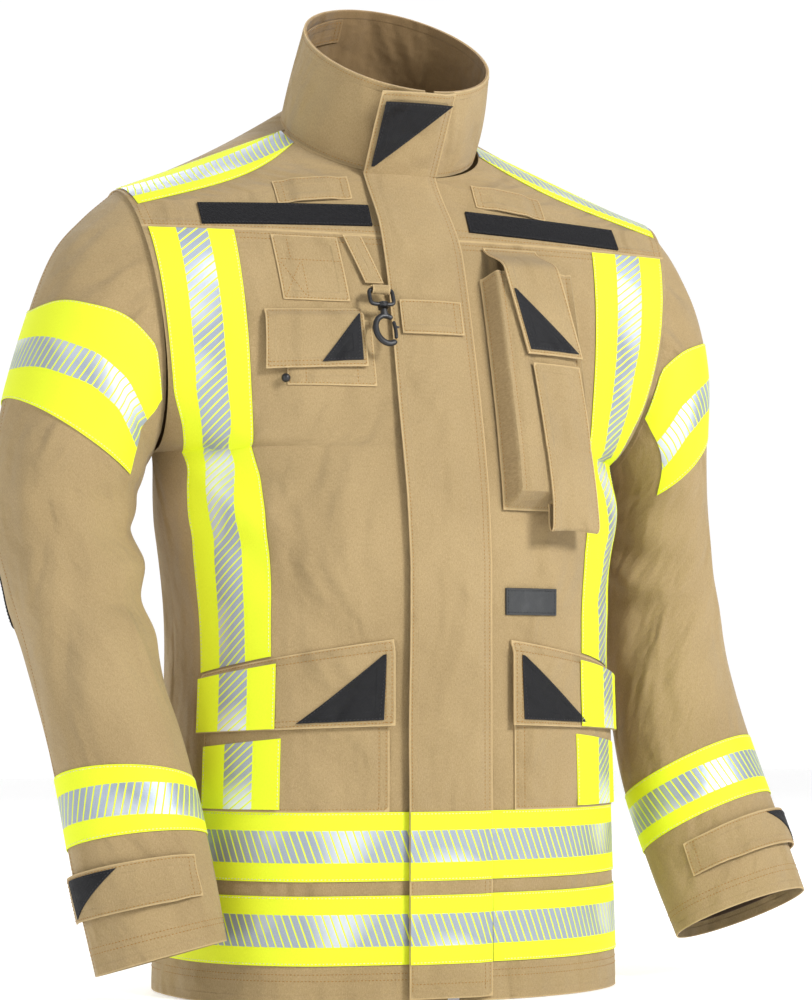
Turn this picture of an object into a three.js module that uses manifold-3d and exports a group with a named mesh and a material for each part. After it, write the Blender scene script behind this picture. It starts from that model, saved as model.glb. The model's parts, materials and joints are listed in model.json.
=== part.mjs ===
// Firefighter's turnout jacket, standing on its hem as if it were worn. Millimetres, +Z up.
// The chest faces -Y and the wearer's left arm is on +X. The origin is under the middle of the
// jacket's box, at the level of the hem.
import * as THREE from 'three';
import { mergeVertices } from 'three/addons/utils/BufferGeometryUtils.js';
import Module from 'manifold-3d';

const wasm = await Module();
wasm.setup();

// ---- Driving dimensions ------------------------------------------------------------------------
const CLOTH = 1.6;            // shell cloth
const LAYER_GAP = 2.4;        // clearance between two layers of cloth
const TAPE = 1.0;             // reflective tape
const SEAM_GAP = 0.6;         // gap kept between two panels at a seam
const LINER_DEPTH = 5;        // how far the liner hangs behind the shell

const HEM_HALF_WIDTH = 222;
const HEM_FLAT = 10;          // the last stretch of the hem hangs straight, so that it stands level
const WAIST_HALF_WIDTH = 214;
const WAIST_Z = 350;
const BELLY_DEPTH = 163;      // front of the hem, forward of the side seams
const CHEST_DEPTH = 130;
const CHEST_Z = 583;
const YOKE_DEPTH = 92;
const YOKE_Z = 707;           // front yoke seam
const BACK_YOKE_Z = 720;
const BACK_DEPTH = 158;
const BACK_YOKE_DEPTH = 104;
const CROSS_SECTION_POWER = 0.83;
const CHEST_CURVE_POWER = 2.6;

const ARMHOLE_X = 256;        // middle of the armhole
const ARMHOLE_LEAN = 20;      // how far its top stands outside its middle
const ARMHOLE_Z = 626.5;
const ARMHOLE_RISE = 121.5;   // half its height
const ARMHOLE_FRONT = 88;
const ARMHOLE_BACK = 78;
const ARMPIT_Z = ARMHOLE_Z - ARMHOLE_RISE;
const ARMPIT_X = ARMHOLE_X - ARMHOLE_LEAN;

const NECK = { halfWidth: 96, depth: 80, y: 20, z: 823.5, slope: 51.7 };
const RIM = { halfWidth: 90, depth: 81, y: -29, z: 901, slope: 56 };
const COLLAR_OPEN_DEG = 4;    // each front end of the collar stops this far from the middle

const ZIP_HALF_GAP = 6;       // front panels stop this far from the middle
const CHAIN_INNER = 1.6;
const CHAIN_OUTER = 4.4;
const ZIP_TAPE_WIDTH = 16;
const ZIP_STRAIGHT_Z = 400;   // below this the zip runs straight
const SLIDER_LENGTH = 14;
const SLIDER_Z = 24;

const FLAP_FREE_X = -45;      // storm flap, edge that opens
const FLAP_SEAM_X = 38;       // storm flap, edge that is sewn
const FLAP_STAND = 5.4;       // its clearance over the front panels
const FLAP_SPLIT_Z = ZIP_STRAIGHT_Z;

const BAND_WIDTH = 62;
const HEM_BAND_LOW_Z = 35;
const HEM_BAND_HIGH_Z = 110;

const POCKET_FLAP_TOP_Z = 328;
const POCKET_FLAP_DROP = 78;
const POCKET_FLAP_SLANT = 16;
const POCKET_INNER_X = 58;
const POCKET_BOTTOM_Z = 186;
const POCKET_STAND = 1.5;     // slack of an empty patch pocket over the cloth

const RADIO = { inner: 52, outer: 144, top: 668, bottom: 448, stand: 24 };
const CHEST = { inner: -64, outer: -160, top: 622, bottom: 560, stand: POCKET_STAND };

// ---- Curves the surfaces are made from ---------------------------------------------------------
const lerp = (a, b, k) => a + (b - a) * k;
const clamp = (v, lo, hi) => Math.min(hi, Math.max(lo, v));

function smoothstep(from, to, v) {
  const k = clamp((v - from) / (to - from), 0, 1);
  return k * k * (3 - 2 * k);
}

// A smooth curve through a few [position, value] stations.
function fair(stations) {
  const slope = (i) => {
    const a = stations[Math.max(i - 1, 0)];
    const b = stations[Math.min(i + 1, stations.length - 1)];
    return (b[1] - a[1]) / (b[0] - a[0]);
  };
  return (position) => {
    const p = clamp(position, stations[0][0], stations[stations.length - 1][0]);
    let i = 0;
    while (i < stations.length - 2 && p > stations[i + 1][0]) i += 1;
    const [x0, y0] = stations[i];
    const [x1, y1] = stations[i + 1];
    const h = x1 - x0;
    const t = (p - x0) / h;
    const rise = (2 * t ** 3 - 3 * t ** 2 + 1) * y0 + (-2 * t ** 3 + 3 * t ** 2) * y1;
    return rise + (t ** 3 - 2 * t ** 2 + t) * h * slope(i) + (t ** 3 - t ** 2) * h * slope(i + 1);
  };
}

const halfWidth = fair([
  [0, HEM_HALF_WIDTH], [HEM_FLAT, HEM_HALF_WIDTH], [200, 216], [WAIST_Z, WAIST_HALF_WIDTH], [ARMPIT_Z, ARMPIT_X],
]);
const frontDepth = fair([
  [0, BELLY_DEPTH], [ZIP_STRAIGHT_Z - 10, BELLY_DEPTH], [ZIP_STRAIGHT_Z, BELLY_DEPTH], [475, BELLY_DEPTH - 8],
  [CHEST_Z, CHEST_DEPTH], [YOKE_Z, YOKE_DEPTH], [NECK.z - NECK.slope, NECK.depth - NECK.y],
]);
const backDepth = fair([
  [0, BACK_DEPTH], [HEM_FLAT, BACK_DEPTH], [200, BACK_DEPTH - 8], [400, BACK_DEPTH - 18], [ARMPIT_Z, 132],
  [ARMHOLE_Z, 120], [BACK_YOKE_Z, BACK_YOKE_DEPTH],
]);

// The armhole is an upright oval. turn is 0 at the shoulder and 180 at the armpit.
function armhole(turn, front) {
  const c = Math.cos(turn);
  const y = (front ? -ARMHOLE_FRONT : ARMHOLE_BACK) * Math.sin(turn);
  return new THREE.Vector3(ARMHOLE_X + ARMHOLE_LEAN * c, y, ARMHOLE_Z + ARMHOLE_RISE * c);
}

const armholeTurn = (z) => Math.acos(clamp((z - ARMHOLE_Z) / ARMHOLE_RISE, -1, 1));

// One half of the body, from the centre line (s = 0) to the side seam or the armhole (s = 1).
function bodyHalf(s, z, front) {
  const edge = z < ARMPIT_Z ? new THREE.Vector3(halfWidth(z), 0, z) : armhole(armholeTurn(z), front);
  const way = front ? -1 : 1;
  const depth = front ? frontDepth(z) : backDepth(z);
  const angle = s * Math.PI / 2;
  const roundX = edge.x * Math.sin(angle) ** CROSS_SECTION_POWER;
  const roundY = 1 - Math.max(Math.cos(angle), 0) ** CROSS_SECTION_POWER;
  const flat = smoothstep(430, 580, z);
  const x = lerp(roundX, edge.x * s, flat);
  const k = lerp(roundY, s ** CHEST_CURVE_POWER, flat);
  return new THREE.Vector3(x, way * depth + (edge.y - way * depth) * k, z);
}

// Share of the half girth at which the body is x wide at height z.
function shareAt(x, z, front = true) {
  let lo = 0;
  let hi = 1;
  for (let i = 0; i < 24; i += 1) {
    const mid = (lo + hi) / 2;
    if (bodyHalf(mid, z, front).x < x) lo = mid;
    else hi = mid;
  }
  return (lo + hi) / 2;
}

function ringPoint(ring, deg) {
  const a = deg * Math.PI / 180;
  const y = ring.y - ring.depth * Math.cos(a);
  return new THREE.Vector3(ring.halfWidth * Math.sin(a), y, ring.z - ring.slope * Math.cos(a));
}

const YOKE_STRAIGHT = 0.3;    // share of the front yoke that is below the collar

// The front yoke runs from its seam (v = 0) up to the shoulder line (v = 1).
function frontYoke(s, v) {
  const outer = armhole(armholeTurn(YOKE_Z) * (1 - v), true);
  const neckFront = ringPoint(NECK, 0);
  const z = lerp(YOKE_Z, neckFront.z, clamp(v / YOKE_STRAIGHT, 0, 1));
  const straight = new THREE.Vector3(0, -frontDepth(z), z);
  const deg = 90 * (v - YOKE_STRAIGHT) / (1 - YOKE_STRAIGHT);
  const inner = v < YOKE_STRAIGHT ? straight : ringPoint(NECK, deg);
  const point = inner.clone().lerp(outer, s);
  point.y -= (YOKE_DEPTH + armhole(armholeTurn(YOKE_Z), true).y) * (1 - v) * (s - s ** CHEST_CURVE_POWER);
  return point;
}

// Each sleeve hangs between an outer and an inner line, and depth is half its front-to-back size.
// Below the waist both lines keep a set distance out from the hem, so the arm clears the body.
const besideHem = (out, y, z) => [HEM_HALF_WIDTH + out, y, z];
const sleeveLines = {
  right: {
    outer: [[276, 0, 748], [305, 0, 722], [332, 0, 690], [352, 2, 640], [379, 4, 540], [388, 0, 450],
      [378, -20, 375], [366, -34, 318], besideHem(129, -66, 225), besideHem(116, -98, 115),
      besideHem(100, -114, 30)],
    inner: [[238.5, 0, 507.5], [241, 0, 500], [244, 0, 492], [247, 2, 482], [252, 4, 460], [255, 2, 420],
      [252, -18, 368], [245, -40, 306], besideHem(6, -84, 215), besideHem(-8, -108, 130),
      besideHem(-18, -122, 58)],
    depth: fair([[0, 84], [3, 84], [5, 68], [7, 62], [10, 46]]),
  },
  left: {
    outer: [[276, 0, 748], [300, 0, 718], [318, 1, 680], [328, 3, 630], [338, 8, 545], [350, 14, 455],
      [364, 20, 378], [371, 2, 310], besideHem(158, -28, 238), besideHem(170, -66, 160),
      besideHem(182, -100, 84)],
    inner: [[238.5, 0, 507.5], [241, 0, 500], [243, 0, 490], [244, 2, 480], [246, 8, 458], [247, 14, 420],
      [247, 20, 368], [247, 6, 275], besideHem(28, -18, 188), besideHem(40, -48, 110),
      besideHem(54, -76, 44)],
    depth: fair([[0, 84], [3, 84], [5, 68], [7, 62], [10, 46]]),
  },
};
const SLEEVE_END = 10;        // last station of the sleeve lines, at the cuff

function sleeveFrame(which, t) {
  const lines = sleeveLines[which];
  if (!lines.outerCurve) {
    const through = (points) => new THREE.CatmullRomCurve3(points.map((p) => new THREE.Vector3(...p)), false, 'catmullrom', 0.5);
    lines.outerCurve = through(lines.outer);
    lines.innerCurve = through(lines.inner);
  }
  const middle = (at) => {
    const o = lines.outerCurve.getPoint(clamp(at, 0, SLEEVE_END) / SLEEVE_END);
    return o.add(lines.innerCurve.getPoint(clamp(at, 0, SLEEVE_END) / SLEEVE_END)).multiplyScalar(0.5);
  };
  const outer = lines.outerCurve.getPoint(t / SLEEVE_END);
  const inner = lines.innerCurve.getPoint(t / SLEEVE_END);
  const along = middle(t + 0.3).sub(middle(t - 0.3)).normalize();
  const wide = outer.clone().sub(inner).multiplyScalar(0.5);
  const front = along.clone().cross(wide).normalize();
  front.lerp(new THREE.Vector3(0, -1, 0), 1 - smoothstep(0, 2, t)).normalize();
  if (front.y > 0) front.negate();
  return { centre: outer.add(inner).multiplyScalar(0.5), wide, front, along };
}

// A point of the sleeve: t runs down from the armhole, deg is 0 outside, 90 in front, 180 inside.
function sleeve(which, t, deg) {
  const { centre, wide, front } = sleeveFrame(which, t);
  const a = deg * Math.PI / 180;
  const behind = lerp(ARMHOLE_BACK / ARMHOLE_FRONT, 1, smoothstep(0, 3, t));
  const depth = sleeveLines[which].depth(t) * (Math.sin(a) < 0 ? behind : 1);
  const point = centre.addScaledVector(wide, Math.cos(a)).addScaledVector(front, depth * Math.sin(a));
  if (which === 'right') point.x *= -1;
  return point;
}

// ---- Solids ------------------------------------------------------------------------------------
function solid(points, faces) {
  const geometry = new THREE.BufferGeometry();
  const flat = points.flatMap((p) => [p.x, p.y, p.z]);
  geometry.setAttribute('position', new THREE.Float32BufferAttribute(flat, 3));
  let volume = 0;
  for (const [a, b, c] of faces) volume += points[a].dot(points[b].clone().cross(points[c]));
  geometry.setIndex(faces.flatMap((f) => (volume < 0 ? [f[0], f[2], f[1]] : f)));
  return geometry;
}

// A sheet of cloth with a thickness. base(u, v) is its surface, low and high are the heights of
// its two faces over it, and a ring closes on itself along u.
function sheet(base, nu, nv, low, high, { out = 1, ring = false } = {}) {
  const lowAt = typeof low === 'function' ? low : () => low;
  const highAt = typeof high === 'function' ? high : () => high;
  const step = 1e-3;
  const wrap = (u) => (ring ? ((u % 1) + 1) % 1 : clamp(u, 0, 1));
  const columns = ring ? nu : nu + 1;
  const points = [];
  for (let layer = 0; layer < 2; layer += 1) {
    for (let j = 0; j <= nv; j += 1) {
      for (let i = 0; i < columns; i += 1) {
        const u = i / nu;
        const v = j / nv;
        const du = base(wrap(u + step), v).sub(base(wrap(u - step), v));
        const dv = base(u, clamp(v + step, 0, 1)).sub(base(u, clamp(v - step, 0, 1)));
        const normal = du.cross(dv).normalize().multiplyScalar(out);
        points.push(base(u, v).addScaledVector(normal, layer ? highAt(u, v) : lowAt(u, v)));
      }
    }
  }
  const at = (layer, i, j) => (layer * (nv + 1) + j) * columns + (i % columns);
  const faces = [];
  const quad = (a, b, c, d) => faces.push([a, b, c], [a, c, d]);
  for (let j = 0; j < nv; j += 1) {
    for (let i = 0; i < nu; i += 1) {
      quad(at(1, i, j), at(1, i + 1, j), at(1, i + 1, j + 1), at(1, i, j + 1));
      quad(at(0, i, j), at(0, i, j + 1), at(0, i + 1, j + 1), at(0, i + 1, j));
    }
    if (!ring) {
      quad(at(0, 0, j), at(1, 0, j), at(1, 0, j + 1), at(0, 0, j + 1));
      quad(at(1, nu, j), at(0, nu, j), at(0, nu, j + 1), at(1, nu, j + 1));
    }
  }
  for (let i = 0; i < nu; i += 1) {
    quad(at(0, i, 0), at(0, i + 1, 0), at(1, i + 1, 0), at(1, i, 0));
    quad(at(0, i, nv), at(1, i, nv), at(1, i + 1, nv), at(0, i + 1, nv));
  }
  return solid(points, faces);
}

function toManifold(geometry) {
  const plain = geometry.clone();
  plain.deleteAttribute('normal');
  plain.deleteAttribute('uv');
  const merged = mergeVertices(plain, 1e-4);
  const vertProperties = new Float32Array(merged.attributes.position.array);
  const triVerts = new Uint32Array(merged.index.array);
  return new wasm.Manifold(new wasm.Mesh({ numProp: 3, vertProperties, triVerts }));
}

function join(...geometries) {
  const mesh = geometries.map(toManifold).reduce((a, b) => a.add(b)).getMesh();
  const geometry = new THREE.BufferGeometry();
  geometry.setAttribute('position', new THREE.BufferAttribute(new Float32Array(mesh.vertProperties), 3));
  geometry.setIndex(Array.from(mesh.triVerts));
  return geometry;
}

const finish = {
  cloth: { color: 0xbfa172, roughness: 0.9, metalness: 0 },
  lining: { color: 0x6b5235, roughness: 0.9, metalness: 0 },
  tape: { color: 0xe4f23a, roughness: 0.55, metalness: 0 },
  black: { color: 0x1d1d20, roughness: 0.85, metalness: 0 },
  hookTape: { color: 0x0c0c0d, roughness: 1, metalness: 0 },
  plastic: { color: 0x16171a, roughness: 0.4, metalness: 0 },
  zip: { color: 0xb98f3a, roughness: 0.35, metalness: 1 },
  rubber: { color: 0x55585a, roughness: 0.7, metalness: 0 },
};

const jacket = new THREE.Group();

function add(name, geometry, look, parent = jacket) {
  const mesh = new THREE.Mesh(geometry, new THREE.MeshStandardMaterial(finish[look]));
  mesh.name = name;
  parent.add(mesh);
  return mesh;
}

const sides = [['right', -1], ['left', 1]];
const mirrored = (side, point) => {
  point.x *= side;
  return point;
};

// ---- Shell panels ------------------------------------------------------------------------------
const panelRows = (v, top) => {
  const knee = (ARMPIT_Z - SEAM_GAP) / top;
  const below = 0.6;
  if (v < below) return top * knee * v / below;
  return lerp(ARMPIT_Z, top, ((v - below) / (1 - below)) ** 1.4);
};

for (const [name, side] of sides) {
  const panel = (u, v) => {
    const z = panelRows(v, YOKE_Z - SEAM_GAP);
    const start = shareAt(ZIP_HALF_GAP, z);
    return mirrored(side, bodyHalf(lerp(start, 0.996, u), z, true));
  };
  add(`${name}_front_panel`, sheet(panel, 12, 16, 0, CLOTH, { out: side }), 'cloth');
  const yoke = (u, v) => mirrored(side, frontYoke(lerp(0.04, 0.99, u), lerp(0.01, 0.99, v)));
  add(`${name}_front_yoke`, sheet(yoke, 7, 5, 0, CLOTH, { out: side }), 'cloth');
}

const backPanel = (u, v) => {
  const z = panelRows(v, BACK_YOKE_Z - SEAM_GAP);
  const side = u < 0.5 ? 1 : -1;
  return mirrored(side, bodyHalf(0.996 * Math.abs(1 - 2 * u), z, false));
};
add('back_panel', sheet(backPanel, 22, 12, 0, CLOTH), 'cloth');

// The back yoke fans out from the collar to the armholes and the seam across the back.
const backYokePanel = (u, v) => {
  const side = u < 0.5 ? 1 : -1;
  const k = 1 - Math.abs(1 - 2 * u);
  const seamShare = clamp(2 * k - 1, 0, 1);
  const onArmhole = armhole(armholeTurn(BACK_YOKE_Z) * clamp(2 * k, 0.02, 1), false);
  const outer = k < 0.5 ? onArmhole : bodyHalf(1 - seamShare, BACK_YOKE_Z, false);
  const inner = ringPoint(NECK, 90 + 90 * clamp(k, 0.01, 1));
  return mirrored(side, inner.lerp(outer, lerp(0.02, 0.99, v)));
};
add('back_yoke', sheet(backYokePanel, 24, 4, 0, CLOTH, { out: -1 }), 'cloth');

for (const [name, side] of sides) {
  const tube = (u, v) => sleeve(name, lerp(0.06, SLEEVE_END, v), 360 * u);
  add(`${name}_sleeve`, sheet(tube, 14, 14, -CLOTH, 0, { ring: true, out: side }), 'cloth');
  const lining = (u, v) => sleeve(name, lerp(1.2, SLEEVE_END - 0.15, v), 360 * u);
  const depth = LINER_DEPTH + CLOTH;
  add(`${name}_sleeve_liner`, sheet(lining, 10, 9, -depth, -LINER_DEPTH, { ring: true, out: side }), 'lining');
}

// ---- Collar and liner --------------------------------------------------------------------------
const collar = (u, v) => {
  const deg = lerp(COLLAR_OPEN_DEG, 360 - COLLAR_OPEN_DEG, u);
  return ringPoint(NECK, deg).lerp(ringPoint(RIM, deg), lerp(0.03, 1, v));
};
add('collar_shell', sheet(collar, 22, 2, 0, CLOTH), 'cloth');
add('collar_lining', sheet(collar, 22, 2, -CLOTH - LAYER_GAP, -LAYER_GAP), 'lining');

const LINER_LOW_Z = 16;
const LINER_TOP_Z = ARMPIT_Z - 12;
// Goes once round the body: q is 0 in front, 1 at the left side, 2 behind and 3 at the right side.
function girth(q, z) {
  const side = q < 2 ? 1 : -1;
  const half = q < 2 ? q : 4 - q;
  return mirrored(side, bodyHalf(half <= 1 ? half : 2 - half, z, half <= 1));
}

const linerWall = (u, v) => girth(lerp(0.14, 3.86, u), lerp(LINER_LOW_Z, LINER_TOP_Z, v));
add('body_liner', sheet(linerWall, 44, 4, -LINER_DEPTH - CLOTH, -LINER_DEPTH), 'lining');

// ---- Reflective tape ---------------------------------------------------------------------------
const OVER_CLOTH = CLOTH + LAYER_GAP;
const onFront = (x, z) => bodyHalf(shareAt(x, z), z, true);

const tapeInner = fair([[HEM_BAND_HIGH_Z, 144], [371, 143], [540, 162], [YOKE_Z, 175]]);
const tapeOuter = fair([[HEM_BAND_HIGH_Z, 0.8], [371, 0.82], [480, 0.83], [520, 0.92], [560, 0.98], [YOKE_Z, 0.98]]);

const HEM_BAND_START = 0.11;  // hem bands start beside the storm flap
for (const [name, z] of [['upper', HEM_BAND_HIGH_Z], ['lower', HEM_BAND_LOW_Z]]) {
  const band = (u, v) => girth(lerp(HEM_BAND_START, 4 - HEM_BAND_START, u), z + BAND_WIDTH * v);
  add(`hem_band_${name}`, sheet(band, 50, 2, OVER_CLOTH, OVER_CLOTH + TAPE), 'tape');
}

const TAPE_OVER_BULGE = OVER_CLOTH + 1.3;
const SHOULDER_TAPE_NECK = 0.9;
const SHOULDER_TAPE_SLEEVE = 0.25;
const bands = {
  right: { forearm: [8.2, 8.75], strap: [8.98, 9.42] },
  left: { forearm: [8.1, 8.8], strap: [9.02, 9.45] },
};

for (const [name, side] of sides) {
  const vertical = (u, v) => {
    const z = lerp(POCKET_FLAP_TOP_Z + 4, YOKE_Z - 3, v);
    const inner = shareAt(tapeInner(z), z);
    return mirrored(side, bodyHalf(lerp(inner, tapeOuter(z), u), z, true));
  };
  add(`${name}_vertical_tape`, sheet(vertical, 6, 12, TAPE_OVER_BULGE, TAPE_OVER_BULGE + TAPE, { out: side }), 'tape');

  const shoulder = (u, v) => {
    const s = lerp(0.05, 0.97, u);
    return mirrored(side, frontYoke(s, lerp(lerp(SHOULDER_TAPE_NECK, SHOULDER_TAPE_SLEEVE, s), 0.985, v)));
  };
  add(`${name}_shoulder_tape`, sheet(shoulder, 7, 3, OVER_CLOTH, OVER_CLOTH + TAPE, { out: side }), 'tape');

  const upperBand = (u, v) => {
    const deg = lerp(-98, 98, u);
    const top = Math.max(3 * (1 - (deg / 104) ** 2), 0.5);
    return sleeve(name, lerp(top, 3.95, v), deg);
  };
  const overSleeve = LAYER_GAP;
  const upper = sheet(upperBand, 8, 4, overSleeve, overSleeve + TAPE, { out: side });
  add(`${name}_upper_arm_band`, upper, 'tape');

  const [forearmTop, forearmEnd] = bands[name].forearm;
  const forearm = (u, v) => sleeve(name, lerp(forearmTop, forearmEnd, v), 360 * u);
  const forearmBand = sheet(forearm, 14, 1, overSleeve, overSleeve + TAPE, { ring: true, out: side });
  add(`${name}_forearm_band`, forearmBand, 'tape');

  const elbow = (u, v) => sleeve(name, lerp(4.7, 6.5, v), lerp(-110, -18, u));
  add(`${name}_elbow_patch`, sheet(elbow, 4, 4, overSleeve, overSleeve + CLOTH, { out: side }), 'black');

  const [strapTop, strapEnd] = bands[name].strap;
  const strap = (u, v) => sleeve(name, lerp(strapTop, strapEnd, v), lerp(-15, 128, u));
  const strapHeight = overSleeve + 1.5;
  add(`${name}_cuff_strap`, sheet(strap, 7, 1, strapHeight, strapHeight + CLOTH, { out: side }), 'cloth');
}

// ---- Yoke trim ---------------------------------------------------------------------------------
// Point of the front yoke that is x wide at height z.
function onYoke(x, z) {
  let lo = 0;
  let hi = 1;
  const at = (v) => {
    const from = frontYoke(0, v).x;
    return frontYoke((x - from) / (frontYoke(1, v).x - from), v);
  };
  for (let i = 0; i < 24; i += 1) {
    const mid = (lo + hi) / 2;
    if (at(mid).z < z) lo = mid;
    else hi = mid;
  }
  return at((lo + hi) / 2);
}

const HOOK_STRIP = { inner: 50, outer: 214, low: 716, drop: 6, width: 21 };
const MIC_LOOP = { inner: 64, outer: 138, low: 743, drop: 9, width: 23 };
for (const [name, side] of sides) {
  for (const [piece, size, look, height] of [
    ['chest_hook_strip', HOOK_STRIP, 'hookTape', 1.4], ['mic_loop', MIC_LOOP, 'cloth', 1.6]]) {
    const patch = (u, v) => {
      const z = size.low - size.drop * u + size.width * v;
      return mirrored(side, onYoke(lerp(size.inner, size.outer, u), z));
    };
    const geometry = sheet(patch, 5, 1, OVER_CLOTH, OVER_CLOTH + height, { out: side });
    add(`${name}_${piece}`, geometry, look);
  }
}

// ---- Pockets -----------------------------------------------------------------------------------
const SEWN = 1.0;             // a sewn edge lies this far over the cloth below it
const STEP = 0.08;            // share of a pocket's width over which its wall rises
const rise = (v) => smoothstep(0, STEP, v);

// Height of a patch pocket over the body: sewn down at both sides and the bottom, open at the top.
const pouchHeight = (stand, extra) => (u, v) => CLOTH + SEWN + extra + stand * rise(u) * rise(1 - u) * rise(v);

const FLAP_LIFT = CLOTH + SEWN + POCKET_STAND + CLOTH + LAYER_GAP;
const flapHeight = (lift, extra) => (u, v) => lerp(lift, CLOTH + SEWN, smoothstep(0.86, 1, v)) + extra;

const POCKET_OUTER_SHARE = 0.8;
for (const [name, side] of sides) {
  const pouch = (u, v) => {
    const z = lerp(POCKET_BOTTOM_Z, POCKET_FLAP_TOP_Z - 17 - 2 * POCKET_FLAP_SLANT * u, v);
    return mirrored(side, bodyHalf(lerp(shareAt(POCKET_INNER_X + 4, z), POCKET_OUTER_SHARE - 0.02, u), z, true));
  };
  const pouchSheet = sheet(pouch, 12, 6, pouchHeight(POCKET_STAND, 0), pouchHeight(POCKET_STAND, CLOTH), { out: side });
  add(`${name}_lower_pocket`, pouchSheet, 'cloth');
  const flap = (u, v) => {
    const bottom = POCKET_FLAP_TOP_Z - POCKET_FLAP_DROP - 8 * u;
    const z = lerp(bottom, POCKET_FLAP_TOP_Z - 2 * POCKET_FLAP_SLANT * u, v);
    return mirrored(side, bodyHalf(lerp(shareAt(POCKET_INNER_X, z), POCKET_OUTER_SHARE, u), z, true));
  };
  const flapSheet = sheet(flap, 10, 6, flapHeight(FLAP_LIFT, 0), flapHeight(FLAP_LIFT, CLOTH), { out: side });
  add(`${name}_lower_flap`, flapSheet, 'cloth');
  const flapTape = (u, v) => flap(lerp(0.56, 0.99, u), lerp(0.02, 0.84, v));
  const tapeHeight = FLAP_LIFT + CLOTH + LAYER_GAP;
  add(`${name}_flap_tape`, sheet(flapTape, 5, 3, tapeHeight, tapeHeight + TAPE, { out: side }), 'tape');
}

const chestPouch = (u, v) => mirrored(-1, onFront(lerp(-CHEST.inner, -CHEST.outer, u), lerp(CHEST.bottom, CHEST.top, v)));
const chestLow = pouchHeight(CHEST.stand, 0);
const chestHigh = pouchHeight(CHEST.stand, CLOTH);
add('chest_pocket', sheet(chestPouch, 8, 5, chestLow, chestHigh, { out: -1 }), 'cloth');

const CHEST_FLAP = { inner: 73, outer: 165, top: 633, bottom: 577 };
const chestFlap = (u, v) => {
  const z = lerp(CHEST_FLAP.bottom - 3 * u, CHEST_FLAP.top - 3 * u, v);
  return mirrored(-1, onFront(lerp(CHEST_FLAP.inner, CHEST_FLAP.outer, u), z));
};
add('chest_pocket_flap', sheet(chestFlap, 5, 6, flapHeight(FLAP_LIFT, 0), flapHeight(FLAP_LIFT, CLOTH), { out: -1 }), 'cloth');

const penPatch = (u, v) => mirrored(-1, onFront(lerp(88, 152, u) - 6 * (1 - v), lerp(640, YOKE_Z - 4, v)));
add('pen_patch', sheet(penPatch, 3, 3, OVER_CLOTH, OVER_CLOTH + CLOTH, { out: -1 }), 'cloth');

const radioPouch = (u, v) => onFront(lerp(RADIO.inner, RADIO.outer, u), lerp(RADIO.bottom, RADIO.top, v));
const radioLow = pouchHeight(RADIO.stand, 2 * SEWN);
const radioHigh = pouchHeight(RADIO.stand, 2 * SEWN + CLOTH);
add('radio_pocket', sheet(radioPouch, 10, 8, radioLow, radioHigh), 'cloth');

const RADIO_FLAP = { inner: 60, width: 56, top: 700, bottom: 588, slant: 18 };
const RADIO_LIFT = CLOTH + 3 * SEWN + RADIO.stand + CLOTH + LAYER_GAP;
const radioFlap = (u, v) => {
  const x = RADIO_FLAP.inner + RADIO_FLAP.slant * (1 - v) + RADIO_FLAP.width * u;
  return onFront(x, lerp(RADIO_FLAP.bottom, RADIO_FLAP.top, v));
};
const radioFlapHeight = (extra) => (u, v) => lerp(RADIO_LIFT, CLOTH + SEWN, smoothstep(0.72, 1, v)) + extra;
add('radio_flap', sheet(radioFlap, 4, 8, radioFlapHeight(0), radioFlapHeight(CLOTH)), 'cloth');

const RADIO_STRAP = { inner: 82, width: 52, top: 580, bottom: 428 };
const radioStrap = (u, v) => {
  const x = RADIO_STRAP.inner + 8 * (1 - v) + RADIO_STRAP.width * u;
  return onFront(x, lerp(RADIO_STRAP.bottom, RADIO_STRAP.top, v));
};
const strapLift = (extra) => () => RADIO_LIFT + extra;
add('radio_strap', sheet(radioStrap, 3, 6, strapLift(0), strapLift(CLOTH)), 'cloth');

const LABEL = { inner: 53, outer: 108, low: 351, high: 376, thick: 1.6 };
const label = (u, v) => onFront(lerp(LABEL.inner, LABEL.outer, u), lerp(LABEL.low, LABEL.high, v));
add('rubber_label', sheet(label, 3, 1, OVER_CLOTH, OVER_CLOTH + LABEL.thick), 'rubber');

// ---- Front closure -----------------------------------------------------------------------------
// The front line of the jacket, forward of which the closure lies, from the hem to the collar top.
const NECK_FRONT = ringPoint(NECK, 0);
const RIM_FRONT = ringPoint(RIM, 0);
function frontLine(z) {
  if (z < NECK_FRONT.z) return -frontDepth(z);
  return lerp(NECK_FRONT.y, RIM_FRONT.y, (z - NECK_FRONT.z) / (RIM_FRONT.z - NECK_FRONT.z));
}
const frontBow = (z) => lerp(0.0008, 0.0034, smoothstep(YOKE_Z, NECK_FRONT.z, z));
const onMiddle = (x, z) => new THREE.Vector3(x, frontLine(z) + frontBow(z) * x * x, z);

const flapSeamX = (z) => lerp(FLAP_SEAM_X, FLAP_SEAM_X - 12, smoothstep(YOKE_Z - 20, NECK_FRONT.z, z));
const stormFlap = (from, to) => (u, v) => {
  const z = lerp(from, to, v);
  return onMiddle(lerp(FLAP_FREE_X, flapSeamX(z), u), z);
};
const flapFace = (extra) => (u) => CLOTH + lerp(FLAP_STAND, 2 * SEWN, smoothstep(0.8, 1, u)) + extra;
const FLAP_FOOT_Z = 4;
const lowerFlap = sheet(stormFlap(FLAP_FOOT_Z, FLAP_SPLIT_Z - SEAM_GAP), 5, 4, flapFace(0), flapFace(CLOTH));
add('storm_flap_lower', lowerFlap, 'cloth');
const upperFlap = sheet(stormFlap(FLAP_SPLIT_Z, RIM_FRONT.z), 5, 14, flapFace(0), flapFace(CLOTH));
add('storm_flap_upper', upperFlap, 'cloth');

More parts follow.
